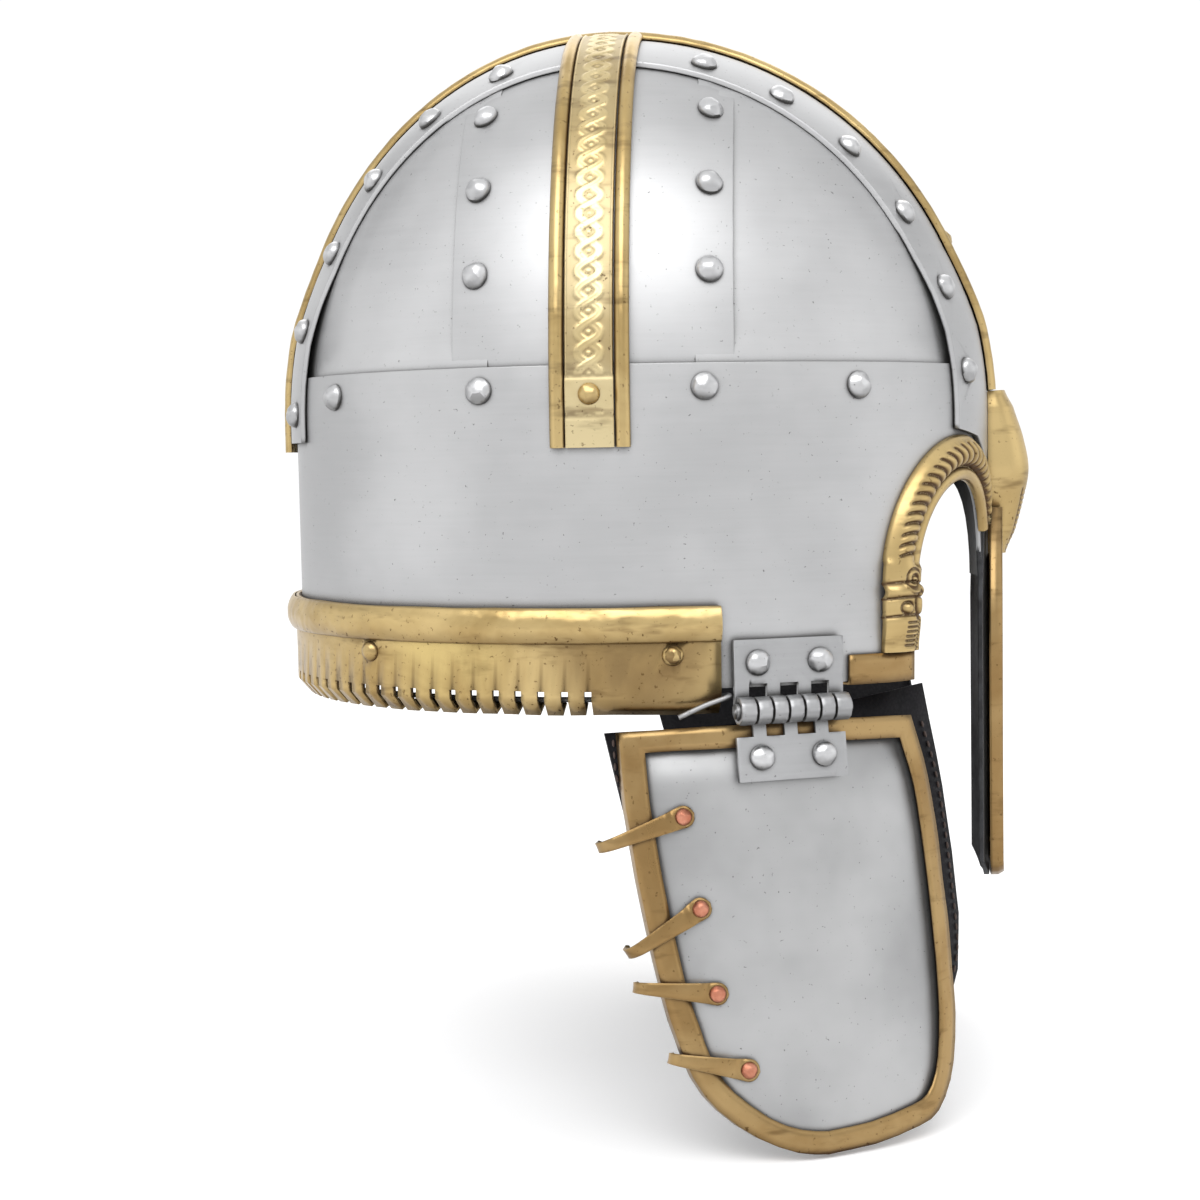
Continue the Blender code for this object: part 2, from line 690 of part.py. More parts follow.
def build_brow_edging(side, word, brass):
    """Brass folded round the lower edge between the hinge and the eye opening."""
    leaf_end = HINGE_MIDDLE.x + HINGE_LENGTH / 2 * math.cos(HINGE_TURN)
    first = arc_at(leaf_end) - LAYER_GAP
    arcs = np.linspace(first, EYE_REAR + CLEARANCE, 6)
    rings = []
    for arc in arcs:
        ring = []
        for below, offset in fold_section(BROW_IN, BROW_OUT, BROW_EDGING_WIDTH):
            ring.append(wall_at(side * arc, BROW_DROP - below, offset))
        rings.append(ring)
    make_object("brow_edging_" + word, sweep(rings), brass)


def fold_section(face_in, face_out, width):
    """A folded edging as (distance in from the edge, offset) points round a sheet's edge."""
    low = face_in - LAYER_GAP
    high = face_out + LAYER_GAP
    return [
        (width, high), (width, high + FOLD_SHEET), (-LAYER_GAP - FOLD_SHEET, high + FOLD_SHEET),
        (-LAYER_GAP - FOLD_SHEET, low - FOLD_SHEET), (width, low - FOLD_SHEET),
        (width, low), (-LAYER_GAP, low), (-LAYER_GAP, high),
    ]


# Neck guard and mail wire

def guard_profile():
    """Points down the neck guard as (offset, below) for its outer and inner face."""
    mid = TRIM + SHEET / 2 - CURL_RADIUS
    turn_at = BROW_DROP + CURL_DROP
    outer = [(TRIM + SHEET, GUARD_BAND_TOP), (TRIM + SHEET, BROW_DROP), (TRIM + SHEET, turn_at)]
    inner = [(TRIM, GUARD_BAND_TOP), (TRIM, BROW_DROP), (TRIM, turn_at)]
    for degrees in (80.0, 160.0):
        turn = math.radians(degrees)
        for points, radius in ((outer, CURL_RADIUS + SHEET / 2), (inner, CURL_RADIUS - SHEET / 2)):
            points.append((mid + radius * math.cos(turn), turn_at + radius * math.sin(turn)))
    return outer, inner, mid, turn_at


def build_neck_guard(brass):
    first = arc_at(GUARD_BAND_FRONT)
    edges = []
    for k in range(SLOTS_PER_SIDE):
        middle = HALF_ROUND - (k + 0.5) * SLOT_PITCH
        edges += [middle + SLOT_WIDTH / 2, middle - SLOT_WIDTH / 2]
    solid = np.linspace(edges[-1], first, 4)[1:]
    half = sorted(edges + list(solid))
    arcs = [-arc for arc in half] + [HALF_ROUND] + list(reversed(half))
    outer_line, inner_line, _, _ = guard_profile()
    outer = [[wall_at(arc, below, offset) for offset, below in outer_line] for arc in arcs]
    inner = [[wall_at(arc, below, offset) for offset, below in inner_line] for arc in arcs]
    solid_cells = len(solid)

    def keep(i, j):
        if j < 1:
            return True
        inside = min(i, len(arcs) - 2 - i) - solid_cells
        return inside < 0 or inside % 2 == 1

    band = make_object("neck_guard", shell(outer, inner, keep), brass)
    seats = []
    for side in (-1, 1):
        for place in GUARD_RIVET_PLACES:
            arc = side * arc_at(place)
            seats.append(seat_on(lambda offset: wall_at(arc, GUARD_RIVET_DROP, offset), TRIM + SHEET))
    rivet(band, seats, CREST_RIVET_RADIUS, RIVET_HEIGHT)
    bead_arcs = np.linspace(first, HALF_ROUND, 20)
    rings = []
    for arc in [-arc for arc in bead_arcs] + list(reversed(bead_arcs[:-1])):
        section = half_round(GUARD_BAND_TOP, GUARD_BEAD_WIDTH, TRIM + SHEET + CLEARANCE, GUARD_BEAD_HEIGHT)
        rings.append([wall_at(arc, below, offset) for below, offset in section])
    make_object("neck_guard_bead", sweep(rings), brass)


def build_mail_wire(steel):
    """Wire through the curled tabs; each end turns back round the guard's front edge."""
    first = arc_at(GUARD_BAND_FRONT)
    _, _, mid, turn_at = guard_profile()
    out = TRIM + SHEET + CLEARANCE + WIRE_RADIUS - mid
    knots = [Vector((-first - ahead, turn_at + below, mid + out * share)) for ahead, below, share in WIRE_END]
    line = curve_through(knots, 4)
    points = [wall_at(*place) for place in line]
    around = [wall_at(-arc, turn_at, mid) for arc in np.linspace(first + SLOT_PITCH, HALF_ROUND, 13)]
    points += around
    points += [Vector((p.x, -p.y, p.z)) for p in reversed(points[:-1])]
    curve = bpy.data.curves.new("mail_wire", "CURVE")
    curve.dimensions = "3D"
    curve.bevel_depth = WIRE_RADIUS * MM
    curve.bevel_resolution = 1
    curve.use_fill_caps = True
    spline = curve.splines.new("POLY")
    spline.points.add(len(points) - 1)
    for knot, point in zip(spline.points, points):
        knot.co = (*(point * MM), 1.0)
    curve.materials.append(steel)
    wire = bpy.data.objects.new("mail_wire", curve)
    bpy.context.collection.objects.link(wire)


# Hinges and cheek guards, laid out in a frame on the hinge axis: x forward, y left, z up

def hinge_frame():
    """Place of the right hinge's middle and the turn of its axis from straight ahead."""
    reach = FRONT_REACH + BROW_OUT
    width = HALF_WIDTH + BROW_OUT
    angle = math.acos(HINGE_PLACE / reach)
    normal = Vector((math.cos(angle) / reach, math.sin(angle) / width)).normalized()
    stand = KNUCKLE_RADIUS + CLEARANCE
    middle = Vector((HINGE_PLACE + normal.x * stand, width * math.sin(angle) + normal.y * stand))
    return middle, math.atan2(normal.x, normal.y)


HINGE_MIDDLE, HINGE_TURN = hinge_frame()
HINGE_BELOW = BROW_DROP + HINGE_UNDER


def wall_from_hinge(forward, offset):
    """Where the wall at this offset lies from the hinge's plane, this far forward along the axis."""
    ahead = Vector((math.cos(HINGE_TURN), -math.sin(HINGE_TURN)))
    out = Vector((math.sin(HINGE_TURN), math.cos(HINGE_TURN)))
    start = HINGE_MIDDLE + ahead * forward
    sizes = Vector((1.0 / (FRONT_REACH + offset) ** 2, 1.0 / (HALF_WIDTH + offset) ** 2))
    a = out.x ** 2 * sizes.x + out.y ** 2 * sizes.y
    b = 2.0 * (start.x * out.x * sizes.x + start.y * out.y * sizes.y)
    c = start.x ** 2 * sizes.x + start.y ** 2 * sizes.y - 1.0
    return (-b + math.sqrt(b * b - 4.0 * a * c)) / (2.0 * a)


def cheek_point(side, forward, drop, offset):
    dish = CHEEK_DISH * (max(drop, 0.0) / (CHEEK_DROP + CHEEK_HEIGHT)) ** 2
    return Vector((forward, side * (wall_from_hinge(forward, offset) - dish), -drop))


def hinge_empty(name, side, tilt=0.0):
    empty = bpy.data.objects.new(name, None)
    bpy.context.collection.objects.link(empty)
    empty.location = Vector((HINGE_MIDDLE.x, side * HINGE_MIDDLE.y, SPRING_Z - HINGE_BELOW)) * MM
    empty.rotation_euler = (side * tilt, 0.0, -side * HINGE_TURN)
    return empty


def build_leaf(name, side, down, parent, steel):
    """One hinge leaf: a plate whose tongues curl round the pin; down is 1 for the lower leaf."""
    pitch = HINGE_LENGTH / HINGE_KNUCKLES
    start = -HINGE_LENGTH / 2
    inset = KNUCKLE_PLAY / 2
    columns = [start]
    for k in range(HINGE_KNUCKLES):
        columns += [start + k * pitch + inset, start + (k + 1) * pitch - inset]
    columns[1] = start + HAIR
    columns[-1] = -start - HAIR
    columns.append(-start)
    radius = KNUCKLE_RADIUS
    bore = KNUCKLE_RADIUS - LEAF_SHEET
    edge = radius + LEAF_GAP
    line = [((-radius, level), (-bore, level)) for level in (LEAF_DROP, edge, 0.0)]
    for k in range(1, 9):
        turn = math.radians(KNUCKLE_CURL) * k / 8
        cosine = math.cos(turn)
        sine = math.sin(turn)
        line.append(((-radius * cosine, -radius * sine), (-bore * cosine, -bore * sine)))
    inner = [[Vector((x, side * out[0], -down * out[1])) for out, _ in line] for x in columns]
    outer = [[Vector((x, side * out[0], -down * out[1])) for _, out in line] for x in columns]

    def keep(i, j):
        if j == 0:
            return True
        if i % 2 == 0:
            return False
        own = ((i - 1) // 2) % 2
        return own == (1 if down > 0 else 0)

    leaf = make_object(name, shell(outer, inner, keep), steel, parent)
    seats = []
    for x in (-HINGE_RIVET_SPACING / 2, HINGE_RIVET_SPACING / 2):
        seats.append((Vector((x, side * -bore, -down * HINGE_RIVET_DROP)), Vector((0.0, side, 0.0))))
    rivet(leaf, seats, HINGE_RIVET_RADIUS, RIVET_HEIGHT, parent)


def build_pin(name, parent, steel):
    bm = bmesh.new()
    radius = KNUCKLE_RADIUS - LEAF_SHEET - CLEARANCE
    length = HINGE_LENGTH + 2.0 * PIN_PROUD
    bmesh.ops.create_cone(bm, cap_ends=True, segments=12, radius1=radius, radius2=radius, depth=length)
    bmesh.ops.rotate(bm, verts=bm.verts, matrix=Matrix.Rotation(math.pi / 2, 3, "Y"))
    make_object(name, bm, steel, parent)


def cheek_edge(table):
    points = [Vector((u * CHEEK_WIDTH, CHEEK_DROP + v * CHEEK_HEIGHT)) for u, v in table]
    return curve_through(points, 2)


def edge_at(line, drop):
    return float(np.interp(drop, [point.y for point in line], [point.x for point in line]))


def build_cheek_plate(side, word, parent, steel):
    rear = cheek_edge(CHEEK_REAR_EDGE)
    front = cheek_edge(CHEEK_FRONT_EDGE)
    height = CHEEK_HEIGHT - CLEARANCE
    levels = [CHEEK_DROP + height * math.sin(math.pi / 2 * k / 11) for k in range(12)]

    def grid(offset):
        columns = []
        for k in range(8):
            column = []
            for level in levels:
                first = edge_at(rear, level) + CLEARANCE
                last = edge_at(front, level) - CLEARANCE
                column.append(cheek_point(side, first + (last - first) * k / 7, level, offset))
            columns.append(column)
        return columns

    top = BROW_OUT - FOLD_SHEET - LAYER_GAP
    return make_object("cheek_plate_" + word, shell(grid(top), grid(top - SHEET)), steel, parent)


def build_cheek_edging(side, word, parent, brass):
    """A folded strip all round the plate, mitred at the two upper corners."""
    rear = cheek_edge(CHEEK_REAR_EDGE)
    front = cheek_edge(CHEEK_FRONT_EDGE)
    line = rear + list(reversed(front[:-1]))
    line += [front[0].lerp(rear[0], k / 8) for k in range(1, 8)]
    face_out = BROW_OUT - FOLD_SHEET - LAYER_GAP
    rings = []
    for k, place in enumerate(line):
        before = (place - line[k - 1]).normalized()
        after = (line[(k + 1) % len(line)] - place).normalized()
        ahead = (before + after).normalized()
        inward = Vector((ahead.y, -ahead.x))
        mitre = 1.0 / max(ahead.dot(after), 0.6)
        ring = []
        for p, offset in fold_section(face_out - SHEET, face_out, CHEEK_EDGING_WIDTH):
            spot = place + inward * p * mitre
            ring.append(cheek_point(side, spot.x, spot.y, offset))
        rings.append(ring)
    return make_object("cheek_edging_" + word, sweep(rings, closed=True), brass, parent)


def build_cheek_lining(side, word, parent, leather):
    """Leather behind the plate: it stands past the rear edge above and up behind the gap at the hinge."""
    rear = cheek_edge(CHEEK_REAR_EDGE)
    front = cheek_edge(CHEEK_FRONT_EDGE)
    face = BROW_OUT - 2.0 * (FOLD_SHEET + LAYER_GAP) - SHEET - LAYER_GAP
    foot = CHEEK_DROP + CHEEK_HEIGHT - CHEEK_EDGING_WIDTH / 2
    levels = [CHEEK_DROP + (foot - CHEEK_DROP) * math.sin(math.pi / 2 * k / 9) for k in range(1, 10)]
    rear_top = edge_at(rear, CHEEK_DROP) - LINING_REAR_MARGIN
    front_top = edge_at(front, CHEEK_DROP) + LINING_FRONT_MARGIN

    def margin(level, wide, fade):
        share = (level - CHEEK_DROP) / CHEEK_HEIGHT
        return wide - (wide + LINING_TUCK) * smooth_step((share - fade[0]) / (fade[1] - fade[0]))

    def grid(offset):
        columns = []
        for k in range(8):
            share = k / 7
            x = rear_top + (front_top - rear_top) * share
            rise = LINING_RISE * max(share - LINING_RISE_START, 0.0) / (1.0 - LINING_RISE_START)
            column = [cheek_point(side, x, CHEEK_DROP - LINING_TUCK - rise, offset)]
            for level in levels:
                first = edge_at(rear, level) - margin(level, LINING_REAR_MARGIN, LINING_REAR_FADE)
                last = edge_at(front, level) + margin(level, LINING_FRONT_MARGIN, LINING_FRONT_FADE)
                column.append(cheek_point(side, first + (last - first) * share, level, offset))
            columns.append(column)
        return columns

    lining = shell(grid(face), grid(face - LINING_SHEET))
    return make_object("cheek_lining_" + word, lining, leather, parent)


def build_hook(side, word, number, rivet_share, tip_share, parent, brass, copper):
    """A strip from its rivet past the rear edge, where it curls inward."""
    start = Vector((rivet_share[0] * CHEEK_WIDTH, CHEEK_DROP + rivet_share[1] * CHEEK_HEIGHT))
    tip = Vector((tip_share[0] * CHEEK_WIDTH, CHEEK_DROP + tip_share[1] * CHEEK_HEIGHT))
    length = (tip - start).length
    ahead = (tip - start).normalized()
    across = Vector((-ahead.y, ahead.x))
    low = BROW_OUT - FOLD_SHEET
    high = BROW_OUT + CLEARANCE
    straight = length - HOOK_CURL_RADIUS - HOOK_SHEET / 2
    stations = []
    rise_end = HOOK_STEP * straight
    flat = [(-HOOK_WIDTH / 2, low), (HOOK_RIVET_RADIUS, low), (rise_end, high)]
    flat += [((rise_end + straight) / 2, high), (straight, high)]
    for along, base in flat:
        stations.append((along, base, base + HOOK_SHEET, along))
    mid = high + HOOK_SHEET / 2 - HOOK_CURL_RADIUS
    for degrees in (35.0, 70.0, 105.0, 140.0):
        turn = math.radians(degrees)
        inner = HOOK_CURL_RADIUS - HOOK_SHEET / 2
        outer = HOOK_CURL_RADIUS + HOOK_SHEET / 2
        under = (straight + inner * math.sin(turn), mid + inner * math.cos(turn))
        over = (straight + outer * math.sin(turn), mid + outer * math.cos(turn))
        stations.append((under[0], under[1], over[1], over[0]))
    rings = []
    for along, under, over, over_along in stations:
        share = min(max(along / length, 0.0), 1.0)
        half = 0.5 * (HOOK_WIDTH + (HOOK_TIP_WIDTH - HOOK_WIDTH) * share)
        ring = []
        corners = (-1, along, under), (1, along, under), (1, over_along, over), (-1, over_along, over)
        for way, place, offset in corners:
            spot = start + ahead * place + across * way * half
            ring.append(cheek_point(side, spot.x, spot.y, offset))
        rings.append(ring)
    name = f"{word}_{number}"
    hook = make_object("hook_" + name, sweep(rings), brass, parent)
    bm = bmesh.new()
    seat = cheek_point(side, start.x, start.y, low + HOOK_SHEET + CLEARANCE)
    along = cheek_point(side, start.x + 1.0, start.y, low) - cheek_point(side, start.x - 1.0, start.y, low)
    downward = cheek_point(side, start.x, start.y + 1.0, low) - cheek_point(side, start.x, start.y - 1.0, low)
    normal = along.cross(downward).normalized()
    if normal.y * side < 0.0:
        normal.negate()
    add_dome(bm, seat, normal, HOOK_RIVET_RADIUS, HOOK_RIVET_HEIGHT, sink=0.0)
    return hook, make_object("hook_rivet_" + name, bm, copper, parent)


def weight_and_middle(made):
    """Volume in cubic metres of a closed mesh and its centroid, in the frame of its parent."""
    volume = 0.0
    middle = Vector()
    mesh = made.data
    mesh.calc_loop_triangles()
    for triangle in mesh.loop_triangles:
        a, b, c = (mesh.vertices[index].co for index in triangle.vertices)
        part = a.dot(b.cross(c)) / 6.0
        volume += part
        middle += part * (a + b + c) / 4.0
    return abs(volume), middle / volume


def hang_angle(pieces, side):
    """How far a guard that swings freely hangs out from straight down, so that it balances."""
    total = 0.0
    moment = Vector()
    for made, density in pieces:
        volume, middle = weight_and_middle(made)
        total += volume * density
        moment += volume * density * middle
    balance = moment / total
    return math.atan2(-side * balance.y, -balance.z)


def build_cheek_guard(side, word, finishes):
    steel, brass, copper, leather = finishes
    parent = hinge_empty("hinge_axis_" + word, side)
    pieces = [(build_cheek_plate(side, word, parent, steel), STEEL_DENSITY)]
    pieces.append((build_cheek_edging(side, word, parent, brass), BRASS_DENSITY))
    pieces.append((build_cheek_lining(side, word, parent, leather), LEATHER_DENSITY))
    for number, (rivet_share, tip_share) in enumerate(HOOKS, 1):
        hook, head = build_hook(side, word, number, rivet_share, tip_share, parent, brass, copper)
        pieces.append((hook, BRASS_DENSITY))
        pieces.append((head, COPPER_DENSITY))
    parent.rotation_euler.x = side * hang_angle(pieces, side)
    build_leaf("hinge_lower_" + word, side, 1, parent, steel)
    fixed = hinge_empty("hinge_seat_" + word, side)
    build_leaf("hinge_upper_" + word, side, -1, fixed, steel)
    build_pin("hinge_pin_" + word, fixed, steel)


def build_helmet():
    for old in list(bpy.data.objects):
        bpy.data.objects.remove(old, do_unlink=True)
    steel = material("Steel", (0.56, 0.57, 0.58), 0.34, 1.0)
    hinge_steel = material("HingeSteel", (0.50, 0.51, 0.52), 0.36, 1.0)
    brass = material("Brass", (0.68, 0.49, 0.22), 0.32, 1.0)
    copper = material("Copper", (0.78, 0.42, 0.32), 0.40, 1.0)
    leather = material("Leather", (0.02, 0.013, 0.014), 0.60, 0.0)
    build_brow_band(steel)
    build_long_band(steel)
    build_long_crest(brass)
    build_crest_head(brass)
    build_nasal_trim(brass)
    build_neck_guard(brass)
    build_mail_wire(hinge_steel)
    for side, word in ((-1, "right"), (1, "left")):
        build_side_band(side, word, steel)
        build_plate("plate_front_" + word, 1, side, steel)
        build_plate("plate_rear_" + word, -1, side, steel)
        build_side_crest(side, word, brass)
        build_eyebrow(side, word, brass)
        build_brow_edging(side, word, brass)
        build_cheek_guard(side, word, (steel, brass, copper, leather))


build_helmet()
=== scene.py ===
import json
import math
import random

import bmesh
import bpy
import numpy as np
from mathutils import Euler, Matrix, Vector, noise
from mathutils.bvhtree import BVHTree

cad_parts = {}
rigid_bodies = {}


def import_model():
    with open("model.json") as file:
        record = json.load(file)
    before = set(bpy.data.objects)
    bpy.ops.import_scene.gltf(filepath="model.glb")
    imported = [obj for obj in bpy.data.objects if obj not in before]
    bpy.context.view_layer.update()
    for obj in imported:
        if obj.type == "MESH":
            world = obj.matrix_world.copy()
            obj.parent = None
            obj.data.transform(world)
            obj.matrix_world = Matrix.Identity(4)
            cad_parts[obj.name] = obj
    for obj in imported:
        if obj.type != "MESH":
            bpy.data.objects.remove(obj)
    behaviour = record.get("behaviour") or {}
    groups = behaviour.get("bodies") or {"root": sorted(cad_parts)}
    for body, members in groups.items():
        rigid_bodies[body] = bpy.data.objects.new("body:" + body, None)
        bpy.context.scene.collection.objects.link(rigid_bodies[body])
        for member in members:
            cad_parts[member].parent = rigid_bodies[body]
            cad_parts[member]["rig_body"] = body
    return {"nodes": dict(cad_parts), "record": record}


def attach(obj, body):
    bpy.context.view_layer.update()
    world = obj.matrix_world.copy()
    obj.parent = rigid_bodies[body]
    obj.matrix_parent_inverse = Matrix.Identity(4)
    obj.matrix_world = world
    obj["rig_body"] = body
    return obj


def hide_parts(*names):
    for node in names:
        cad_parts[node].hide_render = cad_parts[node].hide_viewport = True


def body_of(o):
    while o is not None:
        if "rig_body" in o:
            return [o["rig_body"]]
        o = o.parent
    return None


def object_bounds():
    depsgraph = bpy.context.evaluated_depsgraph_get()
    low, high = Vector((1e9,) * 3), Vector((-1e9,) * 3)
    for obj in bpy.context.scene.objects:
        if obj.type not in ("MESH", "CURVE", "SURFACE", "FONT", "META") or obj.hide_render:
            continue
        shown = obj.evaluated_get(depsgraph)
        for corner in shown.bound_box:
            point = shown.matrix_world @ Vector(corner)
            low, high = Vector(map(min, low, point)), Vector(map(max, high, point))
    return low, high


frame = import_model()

cadLow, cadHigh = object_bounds()
cadNodes = frame["nodes"]
print("frame loaded,", len(cadNodes), "nodes")

# the bowl: half an ellipsoid on a straight wall, in metres; offsets go outward from its inner face
bowl = {
    "frontReach": 0.1173, "rearReach": 0.1038, "halfWidth": 0.090, "domeHeight": 0.1209, "sheet": 0.0015,
    "bandIn": 0.004, "bandOut": 0.0055, "lapRise": 0.002, "trim": 0.006, "sideBandOut": 0.0035,
    "browRise": 0.015, "browDrop": 0.082, "lapStart": 0.009, "lapRun": 0.030, "bandHalf": 0.0425,
    "clearance": 0.0003, "seatLift": 0.0023, "seatRun": 0.010,
}
springZ = -bowl["domeHeight"]


def reachAt(forward):
    return bowl["frontReach"] if forward >= 0 else bowl["rearReach"]


def wallPoint(angle, below, offset):
    shrink = math.sqrt(1 - (min(below, 0) / (bowl["domeHeight"] + offset)) ** 2)
    x = (reachAt(math.cos(angle)) + offset) * shrink * math.cos(angle)
    return Vector((x, (bowl["halfWidth"] + offset) * shrink * math.sin(angle), springZ - below))


def longPoint(slope, y, offset, below=0):
    shrink = math.sqrt(1 - (y / (bowl["halfWidth"] + offset)) ** 2)
    x = (reachAt(math.cos(slope)) + offset) * shrink * math.cos(slope)
    return Vector((x, y, springZ + (bowl["domeHeight"] + offset) * shrink * math.sin(slope) - below))


def crossPoint(side, slope, x, offset, below=0):
    shrink = math.sqrt(1 - (x / (reachAt(x) + offset)) ** 2)
    out = (bowl["halfWidth"] + offset) * shrink * math.cos(slope)
    return Vector((x, side * out, springZ + (bowl["domeHeight"] + offset) * shrink * math.sin(slope) - below))


def smoothStep(value):
    value = min(max(value, 0), 1)
    return value * value * (3 - 2 * value)


def longLift(slope, y=0):
    shrink = math.sqrt(1 - (y / (bowl["halfWidth"] + bowl["bandIn"])) ** 2)
    above = (bowl["domeHeight"] + bowl["bandIn"]) * shrink * math.sin(slope) - bowl["browRise"]
    return bowl["lapRise"] * (1 - smoothStep((above - bowl["lapStart"]) / bowl["lapRun"]))


def outwardAt(place, offset=bowl["bandIn"]):
    reach = reachAt(place.x) + offset
    rise = max(place.z - springZ, 0)
    way = (place.x / reach ** 2, place.y / (bowl["halfWidth"] + offset) ** 2,
           rise / (bowl["domeHeight"] + offset) ** 2)
    return Vector(way).normalized()


def fullness(place, offset):  # 1 on the surface at this offset, more outside it
    rise = max(place.z - springZ, 0)
    return math.hypot(place.x / (reachAt(place.x) + offset), place.y / (bowl["halfWidth"] + offset),
                      rise / (bowl["domeHeight"] + offset))


def offsetOf(place):
    low, high = -0.03, 0.05
    for _ in range(26):
        middle = (low + high) / 2
        if fullness(place, middle) > 1:
            low = middle
        else:
            high = middle
    return low


def onOffset(place, offset):
    size = fullness(place, offset)
    level = min(place.z, springZ)
    return Vector((place.x / size, place.y / size, level + (place.z - level) / size))


def valuesAlong(point, start, end, steps=400):  # distance along a curve and the value there
    values = np.linspace(start, end, steps + 1)
    places = [point(value) for value in values]
    gone = np.cumsum([0] + [(b - a).length for a, b in zip(places, places[1:])])
    return gone, values


wallArcs, wallAngles = valuesAlong(lambda angle: wallPoint(angle, 0, bowl["bandOut"]), 0, math.pi)


def wallAt(arc, below, offset):
    return wallPoint(math.copysign(float(np.interp(abs(arc), wallArcs, wallAngles)), arc), below, offset)


def arcAt(x):
    return float(np.interp(math.acos(x / (reachAt(x) + bowl["bandOut"])), wallAngles, wallArcs))


# shader maths as Python expressions
class Wire:
    def __init__(self, graph, socket):
        self.graph, self.socket = graph, socket

    def maths(self, operation, *values, clamp=False):
        return self.graph.node("ShaderNodeMath", {"operation": operation, "use_clamp": clamp},
                               dict(enumerate(values)))

    def __add__(self, other): return self.maths("ADD", self, other)
    def __radd__(self, other): return self.maths("ADD", other, self)
    def __sub__(self, other): return self.maths("SUBTRACT", self, other)
    def __rsub__(self, other): return self.maths("SUBTRACT", other, self)
    def __mul__(self, other): return self.maths("MULTIPLY", self, other)
    def __rmul__(self, other): return self.maths("MULTIPLY", other, self)

    def clamped(self):
        return self.maths("ADD", self, 0, clamp=True)

    def between(self, low, high):  # 0 below low, 1 above high
        return self.graph.node("ShaderNodeMapRange", {"clamp": True, "interpolation_type": "SMOOTHSTEP"},
                               {"Value": self, "From Min": low, "From Max": high})


class Graph:
    def __init__(self, tree):
        self.tree = tree
        tree.nodes.clear()

    def node(self, kind, settings=None, inputs=None, output=0):
        made = self.tree.nodes.new(kind)
        for key, value in (settings or {}).items():
            if key == "stops":
                ramp = made.color_ramp
                while len(ramp.elements) < len(value):
                    ramp.elements.new(0.5)
                for stop, (place, colour) in zip(ramp.elements, value):
                    stop.position, stop.color = place, (*colour, 1)
            else:
                setattr(made, key, value)
        for key, value in (inputs or {}).items():
            if isinstance(value, Wire):
                self.tree.links.new(value.socket, made.inputs[key])
            else:
                made.inputs[key].default_value = value
        return Wire(self, made.outputs[output]) if len(made.outputs) else None

    def mix(self, factor, first, second, blend="MIX"):
        first = first if isinstance(first, Wire) else (*first, 1)
        second = second if isinstance(second, Wire) else (*second, 1)
        return self.node("ShaderNodeMix", {"data_type": "RGBA", "blend_type": blend},
                         {"Factor": factor, 6: first, 7: second}, 2)

    def coordinates(self):
        return self.node("ShaderNodeTexCoord", output="Object")

    def noise(self, scale, detail=3, roughness=0.5, stretch=None, distortion=0):
        place = self.coordinates()
        if stretch:
            place = self.node("ShaderNodeMapping", inputs={"Vector": place, "Scale": stretch})
        return self.node("ShaderNodeTexNoise", inputs={"Vector": place, "Scale": scale, "Detail": detail,
                                                       "Roughness": roughness, "Distortion": distortion})

    def cells(self, scale, feature="SMOOTH_F1"):
        return self.node("ShaderNodeTexVoronoi", {"feature": feature},
                         {"Vector": self.coordinates(), "Scale": scale})

    def spot(self, centre, radius):  # 1 at a place, fading to 0 at the radius
        gap = self.node("ShaderNodeVectorMath", {"operation": "DISTANCE"}, {0: self.coordinates(), 1: centre}, "Value")
        return 1 - gap.between(radius * 0.35, radius)

    def shade(self, distance):  # 1 in the open, 0 in a corner
        return self.node("ShaderNodeAmbientOcclusion", {"samples": 8}, {"Distance": distance}, "AO")

    def attribute(self, name):
        return self.node("ShaderNodeAttribute", {"attribute_name": name}, output="Fac")

    def roundedNormal(self, radius):
        return self.node("ShaderNodeBevel", {"samples": 4}, {"Radius": radius})

    def underside(self):  # 1 on faces that look down, 0 on those that look up; the materials darken colour with it as painted shade
        flat = self.node("ShaderNodeNewGeometry", output="Normal")
        return 1 - self.node("ShaderNodeSeparateXYZ", inputs={0: flat}, output="Z").between(-0.75, 0.35)

    def edgeWear(self, rounded):  # above 0 where an edge has been rounded off
        flat = self.node("ShaderNodeNewGeometry", output="Normal")
        return 1 - self.node("ShaderNodeVectorMath", {"operation": "DOT_PRODUCT"}, {0: rounded, 1: flat}, "Value")

    def bump(self, height, distance, normal=None, strength=1):
        inputs = {"Height": height, "Distance": distance, "Strength": strength}
        if normal:
            inputs["Normal"] = normal
        return self.node("ShaderNodeBump", inputs=inputs)

    def finish(self, **values):
        inputs = {key.replace("_", " "): value for key, value in values.items()}
        shader = self.node("ShaderNodeBsdfPrincipled", inputs=inputs)
        self.node("ShaderNodeOutputMaterial", inputs={"Surface": shader})


def newMaterial(name, view):
    made = bpy.data.materials.new(name)
    made.use_nodes = True
    made.diffuse_color = (*view, 1)
    return made, Graph(made.node_tree)


# the darkest steel colour serves both real pits and painted shade; under sets how much painted shade falls on faces
# that look down
steelLook = {"bright": (0.57, 0.572, 0.577), "dull": (0.43, 0.432, 0.437), "pitsAndShade": (0.06, 0.058, 0.055),
             "worn": (0.74, 0.745, 0.75), "roughness": 0.36, "brushDepth": 0.000012, "edge": 0.0005,
             "shade": 0.0042, "under": 0.35, "brush": 0.4}


